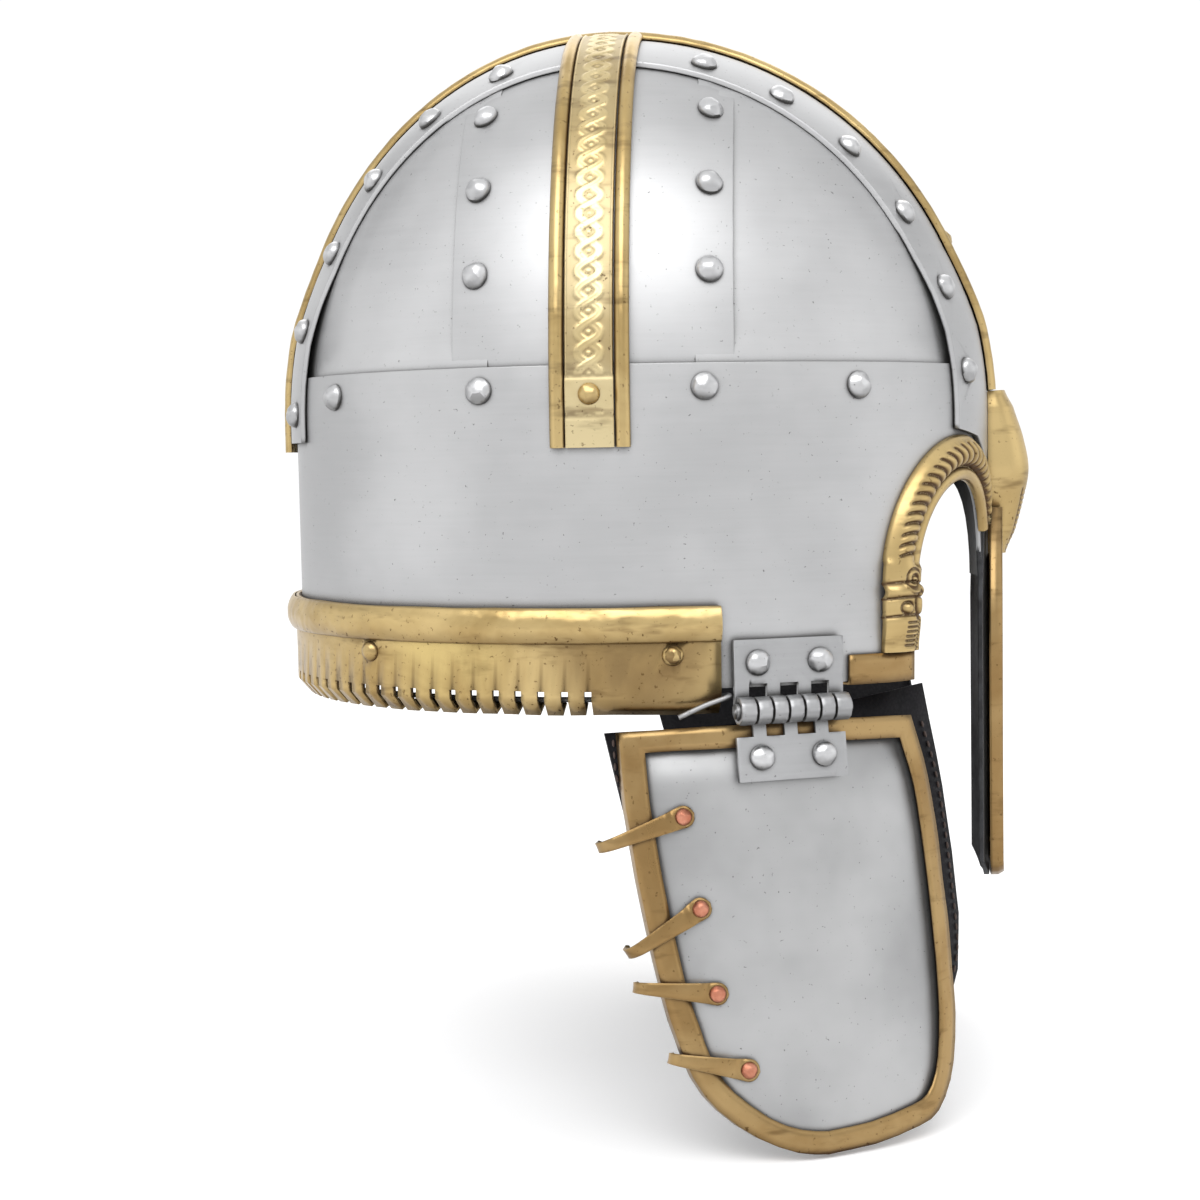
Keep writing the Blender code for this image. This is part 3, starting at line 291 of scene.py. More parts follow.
def makeSteel(name, look):
    material, g = newMaterial(name, look["bright"])
    rounded = g.roundedNormal(look["edge"])
    brush = g.noise(9, 3, 0.6, (4, 4, 90))
    clouds = g.noise(14, 4, 0.55)
    blotch = g.noise(55, 3, 0.6)
    pits = 1 - g.noise(900, 2, 0.6).between(0.24, 0.31)
    # painted shade: corners and gaps between parts, found by ambient occlusion, are darkened
    corner = 1 - g.shade(look["shade"]).between(0.35, 0.93)
    tone = clouds.between(0.32, 0.68) * (1 - look["brush"]) + brush * look["brush"]
    colour = g.mix(tone, look["dull"], look["bright"])
    colour = g.mix(g.edgeWear(rounded).between(0.02, 0.25) * 0.5, colour, look["worn"])
    # painted shade in corners and on faces that look down, together with real pits, pulls the colour toward the
    # darkest steel colour
    colour = g.mix((corner * 0.85 + pits * 0.6 + g.underside() * look["under"]).clamped(), colour, look["pitsAndShade"])
    rough = look["roughness"] + blotch * 0.10 + brush * 0.10 + corner * 0.15
    height = brush + blotch * 0.6 - pits * 2
    g.finish(Base_Color=colour, Metallic=1 - corner * 0.5, Roughness=rough,
             Normal=g.bump(height, look["brushDepth"], rounded))
    return material


def makeBlackened(name):
    material, g = newMaterial(name, (0.02, 0.02, 0.022))
    scale = g.noise(160, 4, 0.6)
    flakes = g.cells(420, "F1")
    rub = g.noise(40, 4, 0.6).between(0.58, 0.72)
    colour = g.mix(scale.between(0.35, 0.7), (0.006, 0.006, 0.007), (0.030, 0.031, 0.034))
    colour = g.mix(rub * 0.35, colour, (0.16, 0.165, 0.17))
    g.finish(Base_Color=colour, Metallic=0.25 + rub * 0.5, Roughness=0.42 + scale * 0.25,
             Normal=g.bump(scale + flakes * 0.5, 0.00012))
    return material


brassLook = {"bright": (0.60, 0.45, 0.21), "mellow": (0.41, 0.285, 0.115), "brown": (0.075, 0.038, 0.014),
             "worn": (0.80, 0.64, 0.36), "roughness": 0.23, "hammer": 0.00010, "hammerScale": 150, "edge": 0.0006,
             "ground": 1.0}


def makeBrass(name, look, grooved=False, highlightAndDarkSpots=()):
    material, g = newMaterial(name, look["mellow"])
    rounded = g.roundedNormal(look["edge"])
    clouds = g.noise(26, 4, 0.6, distortion=0.6)
    streaks = g.noise(8, 3, 0.6, (6, 6, 26))
    specks = 1 - g.noise(700, 2, 0.55).between(0.27, 0.36)
    # painted shade: corners and gaps between parts, found by ambient occlusion, are darkened; on grooved reliefs the
    # ground of the relief also darkens as patina
    corner = 1 - g.shade(0.0038).between(0.35, 0.90)
    shadeAndPatina = corner
    if grooved:
        shadeAndPatina = (corner * 0.6 + g.attribute("groove") * look["ground"]).clamped()
    colour = g.mix(clouds.between(0.30, 0.66), look["mellow"], look["bright"])
    colour = g.mix(streaks.between(0.54, 0.74) * 0.5, colour, look["brown"])
    # each spot pulls the colour toward its tone at one place; a bright spot is a painted highlight
    for place, radius, tone, share in highlightAndDarkSpots:
        colour = g.mix(g.spot(place, radius) * (clouds.between(0.2, 0.6) * share), colour, tone)
    # painted shade in corners and on faces that look down, with real specks and the patina of the ground, pulls the
    # colour toward brown
    colour = g.mix((shadeAndPatina * 0.92 + specks * 0.5 + g.underside() * 0.55).clamped(), colour, look["brown"])
    colour = g.mix(g.edgeWear(rounded).between(0.02, 0.22) * 0.6, colour, look["worn"])
    hammer = g.cells(look["hammerScale"])
    height = hammer + g.noise(420, 3, 0.6) * 0.22 + clouds * 0.5
    g.finish(Base_Color=colour, Metallic=1 - shadeAndPatina * 0.45,
             Roughness=look["roughness"] + clouds * 0.14 + shadeAndPatina * 0.25 + specks * 0.1,
             Normal=g.bump(height, look["hammer"], rounded))
    return material


def makeCopper(name):
    material, g = newMaterial(name, (0.55, 0.23, 0.15))
    rounded = g.roundedNormal(0.0004)
    clouds = g.noise(260, 3, 0.6)
    # painted shade: corners and gaps around the rivet, found by ambient occlusion, are darkened toward a dark copper
    corner = 1 - g.shade(0.002).between(0.3, 0.8)
    colour = g.mix(clouds.between(0.3, 0.7), (0.42, 0.15, 0.09), (0.60, 0.27, 0.18))
    colour = g.mix(corner * 0.8, colour, (0.14, 0.05, 0.03))
    g.finish(Base_Color=colour, Metallic=1 - corner * 0.4, Roughness=0.33 + clouds * 0.2,
             Normal=g.bump(clouds, 0.00012, rounded))
    return material


def makeLeather(name):
    material, g = newMaterial(name, (0.006, 0.004, 0.006))
    grain = g.cells(900, "F1")
    creases = g.noise(120, 5, 0.65)
    rubbed = g.edgeWear(g.roundedNormal(0.0007)).between(0.03, 0.3)
    colour = g.mix(creases.between(0.35, 0.7), (0.0015, 0.0014, 0.0025), (0.006, 0.005, 0.007))
    colour = g.mix(rubbed * 0.45, colour, (0.030, 0.016, 0.013))
    g.finish(Base_Color=colour, Specular_IOR_Level=0.18, Roughness=0.50 + grain * 0.22, Normal=g.bump(grain * 0.6 + creases, 0.00016))
    return material


def makeThread(name):
    material, g = newMaterial(name, (0.06, 0.035, 0.03))
    strands = g.noise(1400, 2, 0.5)
    colour = g.mix(strands, (0.020, 0.012, 0.011), (0.085, 0.055, 0.045))
    g.finish(Base_Color=colour, Roughness=0.6 + strands * 0.2, Normal=g.bump(strands, 0.0001))
    return material


steel = makeSteel("satinSteel", steelLook)
plateSteel = makeSteel("plateSteel", {**steelLook, "bright": (0.62, 0.622, 0.627), "dull": (0.48, 0.482, 0.487)})
guardSteel = makeSteel("guardSteel", {**steelLook, "bright": (0.50, 0.502, 0.505), "dull": (0.33, 0.332, 0.335),
                                      "roughness": 0.38, "shade": 0.0020, "brush": 0.15})
# rivets and filed hinge steel get stronger painted shade on faces that look down
rivetSteel = makeSteel("rivetSteel", {**steelLook, "bright": (0.72, 0.722, 0.73), "dull": (0.50, 0.503, 0.51),
                                      "roughness": 0.22, "under": 0.75, "brushDepth": 0.00004})
hingeSteel = makeSteel("filedSteel", {**steelLook, "bright": (0.50, 0.503, 0.51), "dull": (0.34, 0.343, 0.35),
                                      "roughness": 0.34, "brushDepth": 0.00003, "under": 0.6})
blackened = makeBlackened("blackenedInside")
brass = makeBrass("agedBrass", brassLook)
edgingBrass = makeBrass("edgingBrass", {**brassLook, "bright": (0.40, 0.275, 0.125), "mellow": (0.28, 0.175, 0.070),
                                        "worn": (0.62, 0.47, 0.25), "hammer": 0.00014})
stripBrass = makeBrass("stripBrass", {**brassLook, "hammer": 0.00002, "ground": 0.38,
                                     "bright": (0.74, 0.62, 0.36), "mellow": (0.58, 0.45, 0.22)}, grooved=True)
# the first spot is a painted highlight, a bright yellow patch on the neck guard; the second is a dark brown patch
guardBrass = makeBrass("guardBrass", {**brassLook, "hammer": 0.00016, "hammerScale": 120}, highlightAndDarkSpots=(
    ((-0.050, -0.095, -0.188), 0.030, (0.64, 0.49, 0.20), 0.9),
    ((0.012, -0.098, -0.188), 0.034, (0.12, 0.065, 0.026), 0.7)))
reliefBrass = makeBrass("reliefBrass", {**brassLook, "hammer": 0.00002}, grooved=True)
copper = makeCopper("hammeredCopper")
leather = makeLeather("waxedLeather")
thread = makeThread("waxedThread")
print("materials made")


def cadCopy(node):
    bm = bmesh.new()
    bm.from_mesh(cadNodes[node].data)
    bmesh.ops.remove_doubles(bm, verts=bm.verts, dist=1e-6)
    return bm


# the nasal's steel is bent round the nose, so its edges lie further back than its middle
nasalBend = {"half": 0.014, "fade": 0.014, "depth": 0.0018, "start": 0.012, "full": 0.030}


def bendNasal(bm):
    for vert in bm.verts:
        reach = abs(vert.co.y) / nasalBend["half"]
        share = reach ** 2 if reach < 1 else 1 - smoothStep((abs(vert.co.y) - nasalBend["half"]) / nasalBend["fade"])
        drop = springZ - vert.co.z - nasalBend["start"]
        if vert.co.x > 0:
            vert.co.x -= nasalBend["depth"] * share * smoothStep(drop / (nasalBend["full"] - nasalBend["start"]))


def addPiece(name, bm, body, finishes, replaced=(), sharp=38):
    mesh = bpy.data.meshes.new(name)
    bm.to_mesh(mesh)
    bm.free()
    mesh.shade_smooth()
    mesh.set_sharp_from_angle(angle=math.radians(sharp))
    for finish in finishes:
        mesh.materials.append(finish)
    piece = bpy.data.objects.new(name, mesh)
    bpy.context.scene.collection.objects.link(piece)
    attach(piece, body)
    if replaced:
        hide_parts(*replaced)
    return piece


# steel of the bowl: the CAD sheets brought onto their true curve, with a black inside
def seatLift(place):  # a plate is hammered up to meet the long band and the brow band over it
    byBand = 1 - smoothStep((abs(place.y) - bowl["bandHalf"]) / bowl["seatRun"])
    byBrow = 1 - smoothStep((place.z - springZ - bowl["browRise"]) / bowl["seatRun"])
    return bowl["seatLift"] * max(byBand, byBrow)


def sheetTop(node, place):  # offset of a sheet's outer face, without the rivets on it
    if node.startswith("side"):
        return bowl["sideBandOut"]
    if node == "brow_band":
        return bowl["bandOut"]
    rise = max(place.z - springZ, 0)
    slope = math.atan2(rise / bowl["domeHeight"], place.x / reachAt(place.x))
    return bowl["bandOut"] + longLift(slope, place.y)


def sheetSkin(node, cuts=2):
    bm = cadCopy(node)
    depth = bm.verts.layers.float.new("depth")
    for vert in bm.verts:
        vert[depth] = min(offsetOf(vert.co), sheetTop(node, vert.co))
    bmesh.ops.subdivide_edges(bm, edges=bm.edges, cuts=cuts, use_grid_fill=True)
    for vert in bm.verts:
        lift = seatLift(vert.co) if node.startswith("plate") else 0
        vert.co = onOffset(vert.co, vert[depth] + lift)
    bm.verts.layers.float.remove(depth)
    if node == "nose_nape_band":
        bendNasal(bm)
    for face in bm.faces:
        middle = face.calc_center_median()
        nasal = middle.x > 0 and abs(middle.y) < nasalBend["half"] + 0.001 and middle.z < springZ - nasalBend["start"]
        face.material_index = 1 if face.normal.dot(outwardAt(middle)) < (0.6 if nasal else -0.7) else 0
    outside = plateSteel if node.startswith("plate") else steel
    piece = addPiece(node + "_skin", bm, "bowl", [outside, blackened], [node])
    mesh = piece.data
    normals = [Vector(corner.vector) for corner in mesh.corner_normals]
    for polygon in mesh.polygons:
        way = outwardAt(polygon.center)
        if abs(polygon.normal.dot(way)) > 0.93:
            sign = 1 if polygon.normal.dot(way) > 0 else -1
            for loop in polygon.loop_indices:
                normals[loop] = outwardAt(mesh.vertices[mesh.loops[loop].vertex_index].co) * sign
    mesh.normals_split_custom_set(normals)
    return piece


for node in ("brow_band", "nose_nape_band", "side_band_right", "side_band_left", "plate_front_right",
             "plate_front_left", "plate_rear_right", "plate_rear_left"):
    sheetSkin(node, 4 if node.startswith("plate") else 2)
print("bowl dressed")

# rivets: hammered heads over the plain ones of the CAD
rivetLook = {"cuts": 9, "cutLow": 0.85, "cutHigh": 0.95, "spread": 62, "tilt": 3}
bandRivets = {"radius": 0.0042, "height": 0.0031, "inset": 0.007, "pitch": 0.0292, "first": 0.036, "count": 6,
              "sideHeights": (0.095, 0.070, 0.043), "browPlaces": (0.080, 0.034, -0.034, -0.085), "browRise": 0.008}
chance = random.Random(11)


def rivetHead(bm, seat, way, radius, height, sink=0.0006):
    head = bmesh.ops.create_icosphere(bm, subdivisions=3, radius=1)["verts"]
    rim = sink / height
    turns = []
    for _ in range(rivetLook["cuts"]):
        lean = math.radians(rivetLook["spread"]) * math.sqrt(chance.random())
        around = math.tau * chance.random()
        level = rivetLook["cutLow"] + (rivetLook["cutHigh"] - rivetLook["cutLow"]) * chance.random()
        turns.append((Vector((math.sin(lean) * math.cos(around), math.sin(lean) * math.sin(around), math.cos(lean))),
                      level))
    tilt = math.radians(rivetLook["tilt"]) * (chance.random() - 0.5)
    turn = way.to_track_quat("Z", "X").to_matrix() @ Matrix.Rotation(tilt, 3, "X")
    wobble = 1 + 0.05 * (chance.random() - 0.5)
    for vert in head:
        for cut, level in turns:
            over = vert.co.dot(cut) - level
            if over > 0:
                vert.co -= cut * over
        level = max(vert.co.z, -rim)  # the hidden half is pressed flat
        flat = Vector((vert.co.x * radius * wobble, vert.co.y * radius / wobble, level * height))
        vert.co = seat + turn @ flat


def rivetRow(name, seats, radius, height, body, finish, sink=0.0006):
    bm = bmesh.new()
    for seat, way in seats:
        rivetHead(bm, seat, way, radius, height, sink)
    bmesh.ops.recalc_face_normals(bm, faces=bm.faces)
    return addPiece(name, bm, body, [finish], sharp=24)


def seatOn(point, offset):
    place = point(offset)
    return place, outwardAt(place, offset)


def makeBandRivets():
    look = bandRivets
    bandRadius, bandHeight, out = look["radius"], look["height"], bowl["bandOut"]
    seats = []
    for end in (0, math.pi):
        gone, slopes = valuesAlong(lambda slope: longPoint(slope, 0, out), math.pi / 2, end)
        for k in range(look["count"]):
            slope = float(np.interp(look["first"] + k * look["pitch"], gone, slopes))
            for y in (look["inset"] - bowl["bandHalf"], bowl["bandHalf"] - look["inset"]):
                seats.append(seatOn(lambda offset: longPoint(slope, y, offset), out + longLift(slope, y)))
    rivetRow("band_rivets_long", seats, bandRadius, bandHeight, "bowl", rivetSteel)
    seats = []
    for side in (-1, 1):
        for x in (look["inset"] - bowl["bandHalf"], bowl["bandHalf"] - look["inset"]):
            shrink = math.sqrt(1 - (x / (reachAt(x) + bowl["sideBandOut"])) ** 2)
            for level in look["sideHeights"]:
                slope = math.asin(level / ((bowl["domeHeight"] + bowl["sideBandOut"]) * shrink))
                seats.append(seatOn(lambda offset: crossPoint(side, slope, x, offset), bowl["sideBandOut"]))
    rivetRow("band_rivets_side", seats, bandRadius, bandHeight, "bowl", rivetSteel)
    seats = [seatOn(lambda offset: wallAt(side * arcAt(x), -look["browRise"], offset), out)
             for side in (-1, 1) for x in look["browPlaces"]]
    rivetRow("band_rivets_brow", seats, bandRadius, bandHeight, "bowl", rivetSteel)


makeBandRivets()
print("bowl rivets made")


# a relief: a fine grid laid on a curved place, with its rim turned down onto what carries it
def relief(name, cells, place, rim, body, finish, replaced=(), way=outwardAt, sharp=60):
    bm = bmesh.new()
    groove = bm.verts.layers.float.new("groove")
    bmesh.ops.create_grid(bm, x_segments=cells[0], y_segments=cells[1], size=0.5)
    for vert in bm.verts:
        vert.co, vert[groove] = place(vert.co.x + 0.5, vert.co.y + 0.5)
    middle = sorted(bm.faces, key=lambda face: face.calc_center_median().length)[len(bm.faces) // 2]
    bm.normal_update()
    if middle.normal.dot(way(middle.calc_center_median())) < 0:
        bmesh.ops.reverse_faces(bm, faces=bm.faces)
    edges = [edge for edge in bm.edges if edge.is_boundary]
    lower = [part for part in bmesh.ops.extrude_edge_only(bm, edges=edges)["geom"]
             if isinstance(part, bmesh.types.BMVert)]
    for vert in lower:
        vert.co -= way(vert.co) * rim
    return addPiece(name, bm, body, [finish], replaced, sharp)


# crests: strips with a two-strand twist between half-round bindings
crest = {
    "half": 0.00725, "height": 0.0014, "bindingWidth": 0.0045, "bindingHeight": 0.0024, "longDrop": 0.009,
    "sideDrop": 0.0095, "rivetRadius": 0.0033, "rivetHeight": 0.0025, "rivetRise": 0.0063,
    "rivetSlopes": (90, 27, 150), "headRise": 0.007, "plateEnd": 0.009, "seam": 0.0007,
}
twist = {"pitch": 0.0124, "swing": 0.0032, "strand": 0.0013, "relief": 0.00045, "border": 0.0008,
         "pellet": 0.0007, "rivetGap": 0.0052}


def twistAt(along, across, half, look):  # height from 0 to 1 and how deep the ground lies
    edge = half - abs(across)
    if edge < look["border"]:
        rise = math.sin(math.pi * max(edge, 0) / look["border"]) ** 0.6
        return 0.9 * rise, 0.6 * (1 - rise)
    turn = math.tau * along / look["pitch"]
    best = 0
    for way in (1, -1):
        lean = look["swing"] * math.tau / look["pitch"] * math.cos(turn)
        gap = (across - way * look["swing"] * math.sin(turn)) / math.hypot(1, lean) / look["strand"]
        if abs(gap) < 1:
            level = 0.85 + 0.2 * way * math.cos(turn)
            best = max(best, math.sqrt(1 - gap * gap) * level - 0.4 * math.exp(-(gap / 0.28) ** 2))
    quarter = look["pitch"] / 4
    middle = abs((along - quarter) % (2 * quarter) - quarter) - quarter
    pellet = 1 - (math.hypot(middle, across) / look["pellet"]) ** 2
    if pellet > 0:
        best = max(best, 0.7 * math.sqrt(pellet))
    return best, 1 - smoothStep(best / 0.5)


def stripRelief(along, across, half, plain):  # plain places along the strip carry no twist
    height, depth = twistAt(along, across, half, twist)
    for place, reach in plain:
        share = smoothStep((abs(along - place) - reach) / 0.0008)
        seam = math.exp(-((abs(along - place) - reach) / crest["seam"]) ** 2)
        height, depth = height * share + 0.35 * (1 - share) - 0.5 * seam, depth * share + 0.8 * seam
    return height * twist["relief"], min(depth, 1)


def ripple(place, scale, size):
    return noise.noise(place * scale) * size


def makeCrestRun(name, point, length, cells, plain, body, bindingNodes):
    top = bowl["trim"] + crest["height"]

    def strip(u, v):
        across = (v - 0.5) * 2 * crest["half"]
        height, depth = stripRelief(u * length, across, crest["half"], plain)
        return point(u * length, across, top + height - 0.3 * twist["relief"]), depth

    relief(name + "_relief", cells, strip, crest["height"], body, stripBrass, [name])
    for way, node in bindingNodes:
        def moulding(u, v):
            across = crest["half"] + bowl["clearance"] + v * crest["bindingWidth"]
            height = crest["bindingHeight"] * max(math.sin(math.pi * (0.06 + 0.88 * v)), 0) ** 0.62
            place = point(u * length, way * across, bowl["trim"] + height)
            place += outwardAt(place) * ripple(place, 260, 0.00012)
            return place, 0.55 * smoothStep((0.10 - v) / 0.10)

        relief(node + "_relief", (cells[0] // 3, 14), moulding, crest["bindingHeight"] * 0.3, body,
               reliefBrass, [node])


def makeCrests():
    out = bowl["trim"] + crest["height"]
    first = math.asin((crest["headRise"] + bowl["clearance"]) / (bowl["domeHeight"] + bowl["trim"] + bowl["lapRise"]))
    gone, slopes = valuesAlong(lambda slope: longPoint(slope, 0, out), first, math.pi, 900)
    arch = float(gone[-1])

    def longPlace(along, across, offset):
        slope = float(np.interp(along, gone, slopes))
        below = max(along - arch, 0)
        return longPoint(slope, across, offset + longLift(slope), below)

    rivetPlaces = [float(np.interp(math.radians(slope), slopes, gone)) for slope in crest["rivetSlopes"]]
    plain = [(place, twist["rivetGap"]) for place in rivetPlaces]
    makeCrestRun("crest_strip_long", longPlace, arch + crest["longDrop"], (900, 22), plain, "bowl",
                 ((-1, "crest_binding_long_right"), (1, "crest_binding_long_left")))
    seats = [seatOn(lambda offset: longPoint(math.radians(slope), 0, offset),
                    out + longLift(math.radians(slope))) for slope in crest["rivetSlopes"]]
    last = math.acos((crest["half"] + bowl["clearance"] + crest["bindingWidth"] + 0.001)
                     / (bowl["halfWidth"] + bowl["trim"]))
    for side, word in ((-1, "right"), (1, "left")):
        sideGone, sideSlopes = valuesAlong(lambda slope: crossPoint(side, slope, 0, out), 0, last, 500)

        def sidePlace(along, across, offset):
            slope = float(np.interp(max(along - crest["sideDrop"], 0), sideGone, sideSlopes))
            return crossPoint(side, slope, across, offset, max(crest["sideDrop"] - along, 0))

        length = crest["sideDrop"] + float(sideGone[-1])
        rivetAlong = crest["sideDrop"] + crest["rivetRise"]
        plain = [(0, crest["plateEnd"]), (rivetAlong, twist["rivetGap"])]
        makeCrestRun("crest_strip_" + word, sidePlace, length, (420, 36), plain, "bowl",
                     ((1, f"crest_binding_{word}_front"), (-1, f"crest_binding_{word}_rear")))
        slope = float(np.interp(crest["rivetRise"], sideGone, sideSlopes))
        seats.append(seatOn(lambda offset: crossPoint(side, slope, 0, offset), out))
    rivetRow("crest_rivets", seats, crest["rivetRadius"], crest["rivetHeight"], "bowl", brass)


makeCrests()
print("crests made")


# face: eyebrows that end in small beast heads, the large beast head and the nasal's panel
eye = {
    "nasalHalf": 0.014, "width": 0.0535, "top": 0.0205, "spring": 0.055, "edging": 0.008, "browWidth": 0.013,
    "height": 0.0054, "lip": 0.0013, "rim": 0.0032, "rimHeight": 0.0026, "end": 152, "taperFrom": 95,
    "taperTo": 0.3, "ridge": 0.0028, "ridgeDepth": 0.0012, "ridgeWidth": 0.0005,
}
# small beast head up from the eyebrow's foot: distance along it, place across it, radius and height
smallHead = {"end": 0.0275, "bead": (0.0136, 0.0072, 0.0015, 0.0012), "lentoid": (0.0146, 0.0022, 0.0016, 0.0010),
             "spiral": (0.0218, 0.0050, 0.0036, 0.0010), "collar": (0.0186, 0.0016, 0.0012), "groove": 0.0108,
             "snout": (0.0012, 0.0098, 6), "tooth": 0.0012}


def spanAt(value, low, high):
    return smoothStep((value - low) / (high - low))


def bellAt(value, middle, width):
    return math.exp(-((value - middle) / width) ** 2)


def smallHeadAt(along, across, t, height):
    snout = 0.70 + 0.30 * spanAt(along, 0, 0.010)
    body = height * snout * max(math.sin(math.pi * (0.07 + 0.86 * t)), 0) ** 0.55
    depth = 0
    beadAlong, beadAcross, beadRadius, beadHeight = smallHead["bead"]
    gap = math.hypot(along - beadAlong, across - beadAcross)
    body += beadHeight * math.sqrt(max(1 - (gap / beadRadius) ** 2, 0))
    ring = bellAt(gap, beadRadius * 1.25, beadRadius * 0.25)
    lentoidAlong, lentoidAcross, lentoidRadius, lentoidHeight = smallHead["lentoid"]
    lean = math.hypot((along - lentoidAlong) / 2.2, across - lentoidAcross)
    body += lentoidHeight * math.sqrt(max(1 - (lean / lentoidRadius) ** 2, 0))
    ring = max(ring, bellAt(lean, lentoidRadius * 1.2, lentoidRadius * 0.25))
    spiralAlong, spiralAcross, spiralRadius, spiralHeight = smallHead["spiral"]
    reach = math.hypot(along - spiralAlong, across - spiralAcross)
    turn = math.atan2(along - spiralAlong, across - spiralAcross)
    coil = 0.5 + 0.5 * math.cos(math.tau * (2 * reach / spiralRadius) - turn)
    inside = 1 - spanAt(reach, spiralRadius * 0.9, spiralRadius * 1.2)
    body += spiralHeight * inside * (coil - 0.5)
    depth = max(depth, inside * (1 - coil) * 0.9)
    collarAlong, collarWidth, collarHeight = smallHead["collar"]
    body += collarHeight * bellAt(along, collarAlong, collarWidth)
    for line in (collarAlong - 0.0022, collarAlong + 0.0020, smallHead["groove"]):
        ring = max(ring, bellAt(along, line + 0.0006 * math.sin(math.pi * t), 0.00045))
    first, last, ribs = smallHead["snout"]
    window = spanAt(along, first - 0.0006, first) * (1 - spanAt(along, last, last + 0.0006)) * spanAt(t, 0.26, 0.30) * (1 - spanAt(t, 0.56, 0.62))
    wave = 0.5 + 0.5 * math.cos(math.tau * ribs * (along - first) / (last - first))
    body -= 0.0007 * window * (1 - wave)
    depth = max(depth, window * (1 - wave) ** 2)
    tooth = bellAt(t, 0.20 + 0.03 * math.sin(math.tau * along / smallHead["tooth"]), 0.035)
    ring = max(ring, tooth * (1 - spanAt(along, last, last + 0.001)))
    return body - 0.0008 * ring, max(depth, ring)


def eyebrowAt(along, across, roll, high):
    rim, lip = eye["rim"], eye["lip"]
    if across < rim:
        t = (across + lip) / (rim + lip)
        body = eye["rimHeight"] * max(math.sin(math.pi * (0.12 + 0.80 * t)), 0) ** 0.6
    else:
        t = min((across - rim) / roll, 1)
        body = high * max(math.sin(math.pi * (0.10 + 0.87 * t ** 0.9)), 0) ** 0.6
    depth = bellAt(across, rim, 0.0006)
    body -= 0.0006 * depth
    if across > rim and along > smallHead["end"]:
        bend = along + 0.0030 * (t - 0.25) ** 2 * 2 + 0.0012 * t
        gap = (bend / eye["ridge"]) % 1 - 0.5
        cut = bellAt(gap * eye["ridge"], 0, eye["ridgeWidth"]) * (1 - spanAt(t, 0.68, 0.82))
        body -= eye["ridgeDepth"] * cut
        depth = max(depth, cut)
    share = 1 - spanAt(along, smallHead["end"] - 0.0025, smallHead["end"])
    if share > 0:
        t = (across + lip) / (rim + lip + roll)
        headBody, headDepth = smallHeadAt(along, across, t, high * 1.05)
        body, depth = body + (headBody - body) * share, depth + (headDepth - depth) * share
    return body, min(depth, 1)


def makeEyebrow(side, word):
    width, rise = eye["width"] / 2, eye["spring"] - eye["top"]
    foot = bowl["browDrop"] - eye["edging"]
    straight = foot - eye["spring"]

    def archAt(turn):
        return Vector((eye["nasalHalf"] + width * (1 + math.cos(turn)), eye["spring"] - rise * math.sin(turn), 0))

    gone, turns = valuesAlong(archAt, 0, math.radians(eye["end"]), 300)
    length = straight + float(gone[-1])

    def place(u, v):
        along = u * length
        turn = float(np.interp(along - straight, gone, turns))
        middle = archAt(turn)
        middle.y += max(straight - along, 0)
        out = Vector((math.cos(turn) / width, math.sin(turn) / rise)).normalized()
        size = float(np.interp(math.degrees(turn), (eye["taperFrom"], eye["end"]), (1, eye["taperTo"])))
        roll = (eye["browWidth"] - eye["rim"]) * size
        high = eye["rimHeight"] + (eye["height"] - eye["rimHeight"]) * size
        across = -eye["lip"] + v * (eye["lip"] + eye["rim"] + roll)
        body, depth = eyebrowAt(along, across, roll, high)
        arc = max(middle.x + out.x * across, eye["nasalHalf"] + bowl["clearance"])
        return wallAt(side * arc, middle.y - out.y * across, bowl["bandOut"] + max(body, 0.0004)), depth

    relief("eyebrow_" + word + "_relief", (330, 40), place, 0.0018, "bowl", reliefBrass, ["eyebrow_" + word])


def throughTable(rows, share):  # a smooth curve through table rows of (share, value, value ...)
    shares = [row[0] for row in rows]
    k = min(max(int(np.searchsorted(shares, share)) - 1, 0), len(rows) - 2)
    a, b, c, d = (np.array(rows[min(max(k + step, 0), len(rows) - 1)]) for step in (-1, 0, 1, 2))
    t = (share - b[0]) / (c[0] - b[0])
    value = b + 0.5 * t * ((c - a) + t * ((2 * a - 5 * b + 4 * c - d) + t * (3 * b - a - 3 * c + d)))
    return value[1:]


nose = {"overLap": 0.008, "rise": 0.007, "length": 0.0542, "width": 0.023, "depth": 0.0136, "drop": 0.157,
        "corner": 0.007, "binding": 0.004, "panel": 0.002, "teeth": 13}
headSections = ((0.00, 0.78, 0.42), (0.10, 0.88, 0.62), (0.28, 0.98, 0.86), (0.48, 1.00, 1.00),
                (0.68, 0.80, 0.86), (0.86, 0.66, 0.66), (1.00, 0.52, 0.42))


def makeCrestHead():
    def place(u, v):
        width, depth = throughTable(headSections, u)
        around = math.pi * v
        lean = abs(v - 0.5)
        shape = min(math.sin(around) ** 0.6, 0.955)
        groove = bellAt(lean, 0.205, 0.014) * spanAt(u, 0.58, 0.62)
        teeth = spanAt(u, 0.60, 0.64) * (0.5 + 0.5 * math.cos(math.tau * nose["teeth"] * u / 0.4)) ** 3
        groove = max(groove, teeth * bellAt(lean, 0.15, 0.045))
        height = nose["depth"] * depth * shape - 0.0007 * groove
        below = u * nose["length"] - nose["rise"]
        slope = math.asin(max(-below, 0) / (bowl["domeHeight"] + nose["overLap"]))
        y = 0.5 * nose["width"] * width * math.cos(around)
        return longPoint(slope, y, nose["overLap"] + height, max(below, 0)), groove

    relief("crest_head_relief", (180, 70), place, 0.0004, "bowl", reliefBrass, ["crest_head"])


def nasalEnd(y):
    share = min(abs(y) / eye["nasalHalf"], 1)
    return nose["drop"] - nose["corner"] * (1 - math.sqrt(1 - share ** 2))


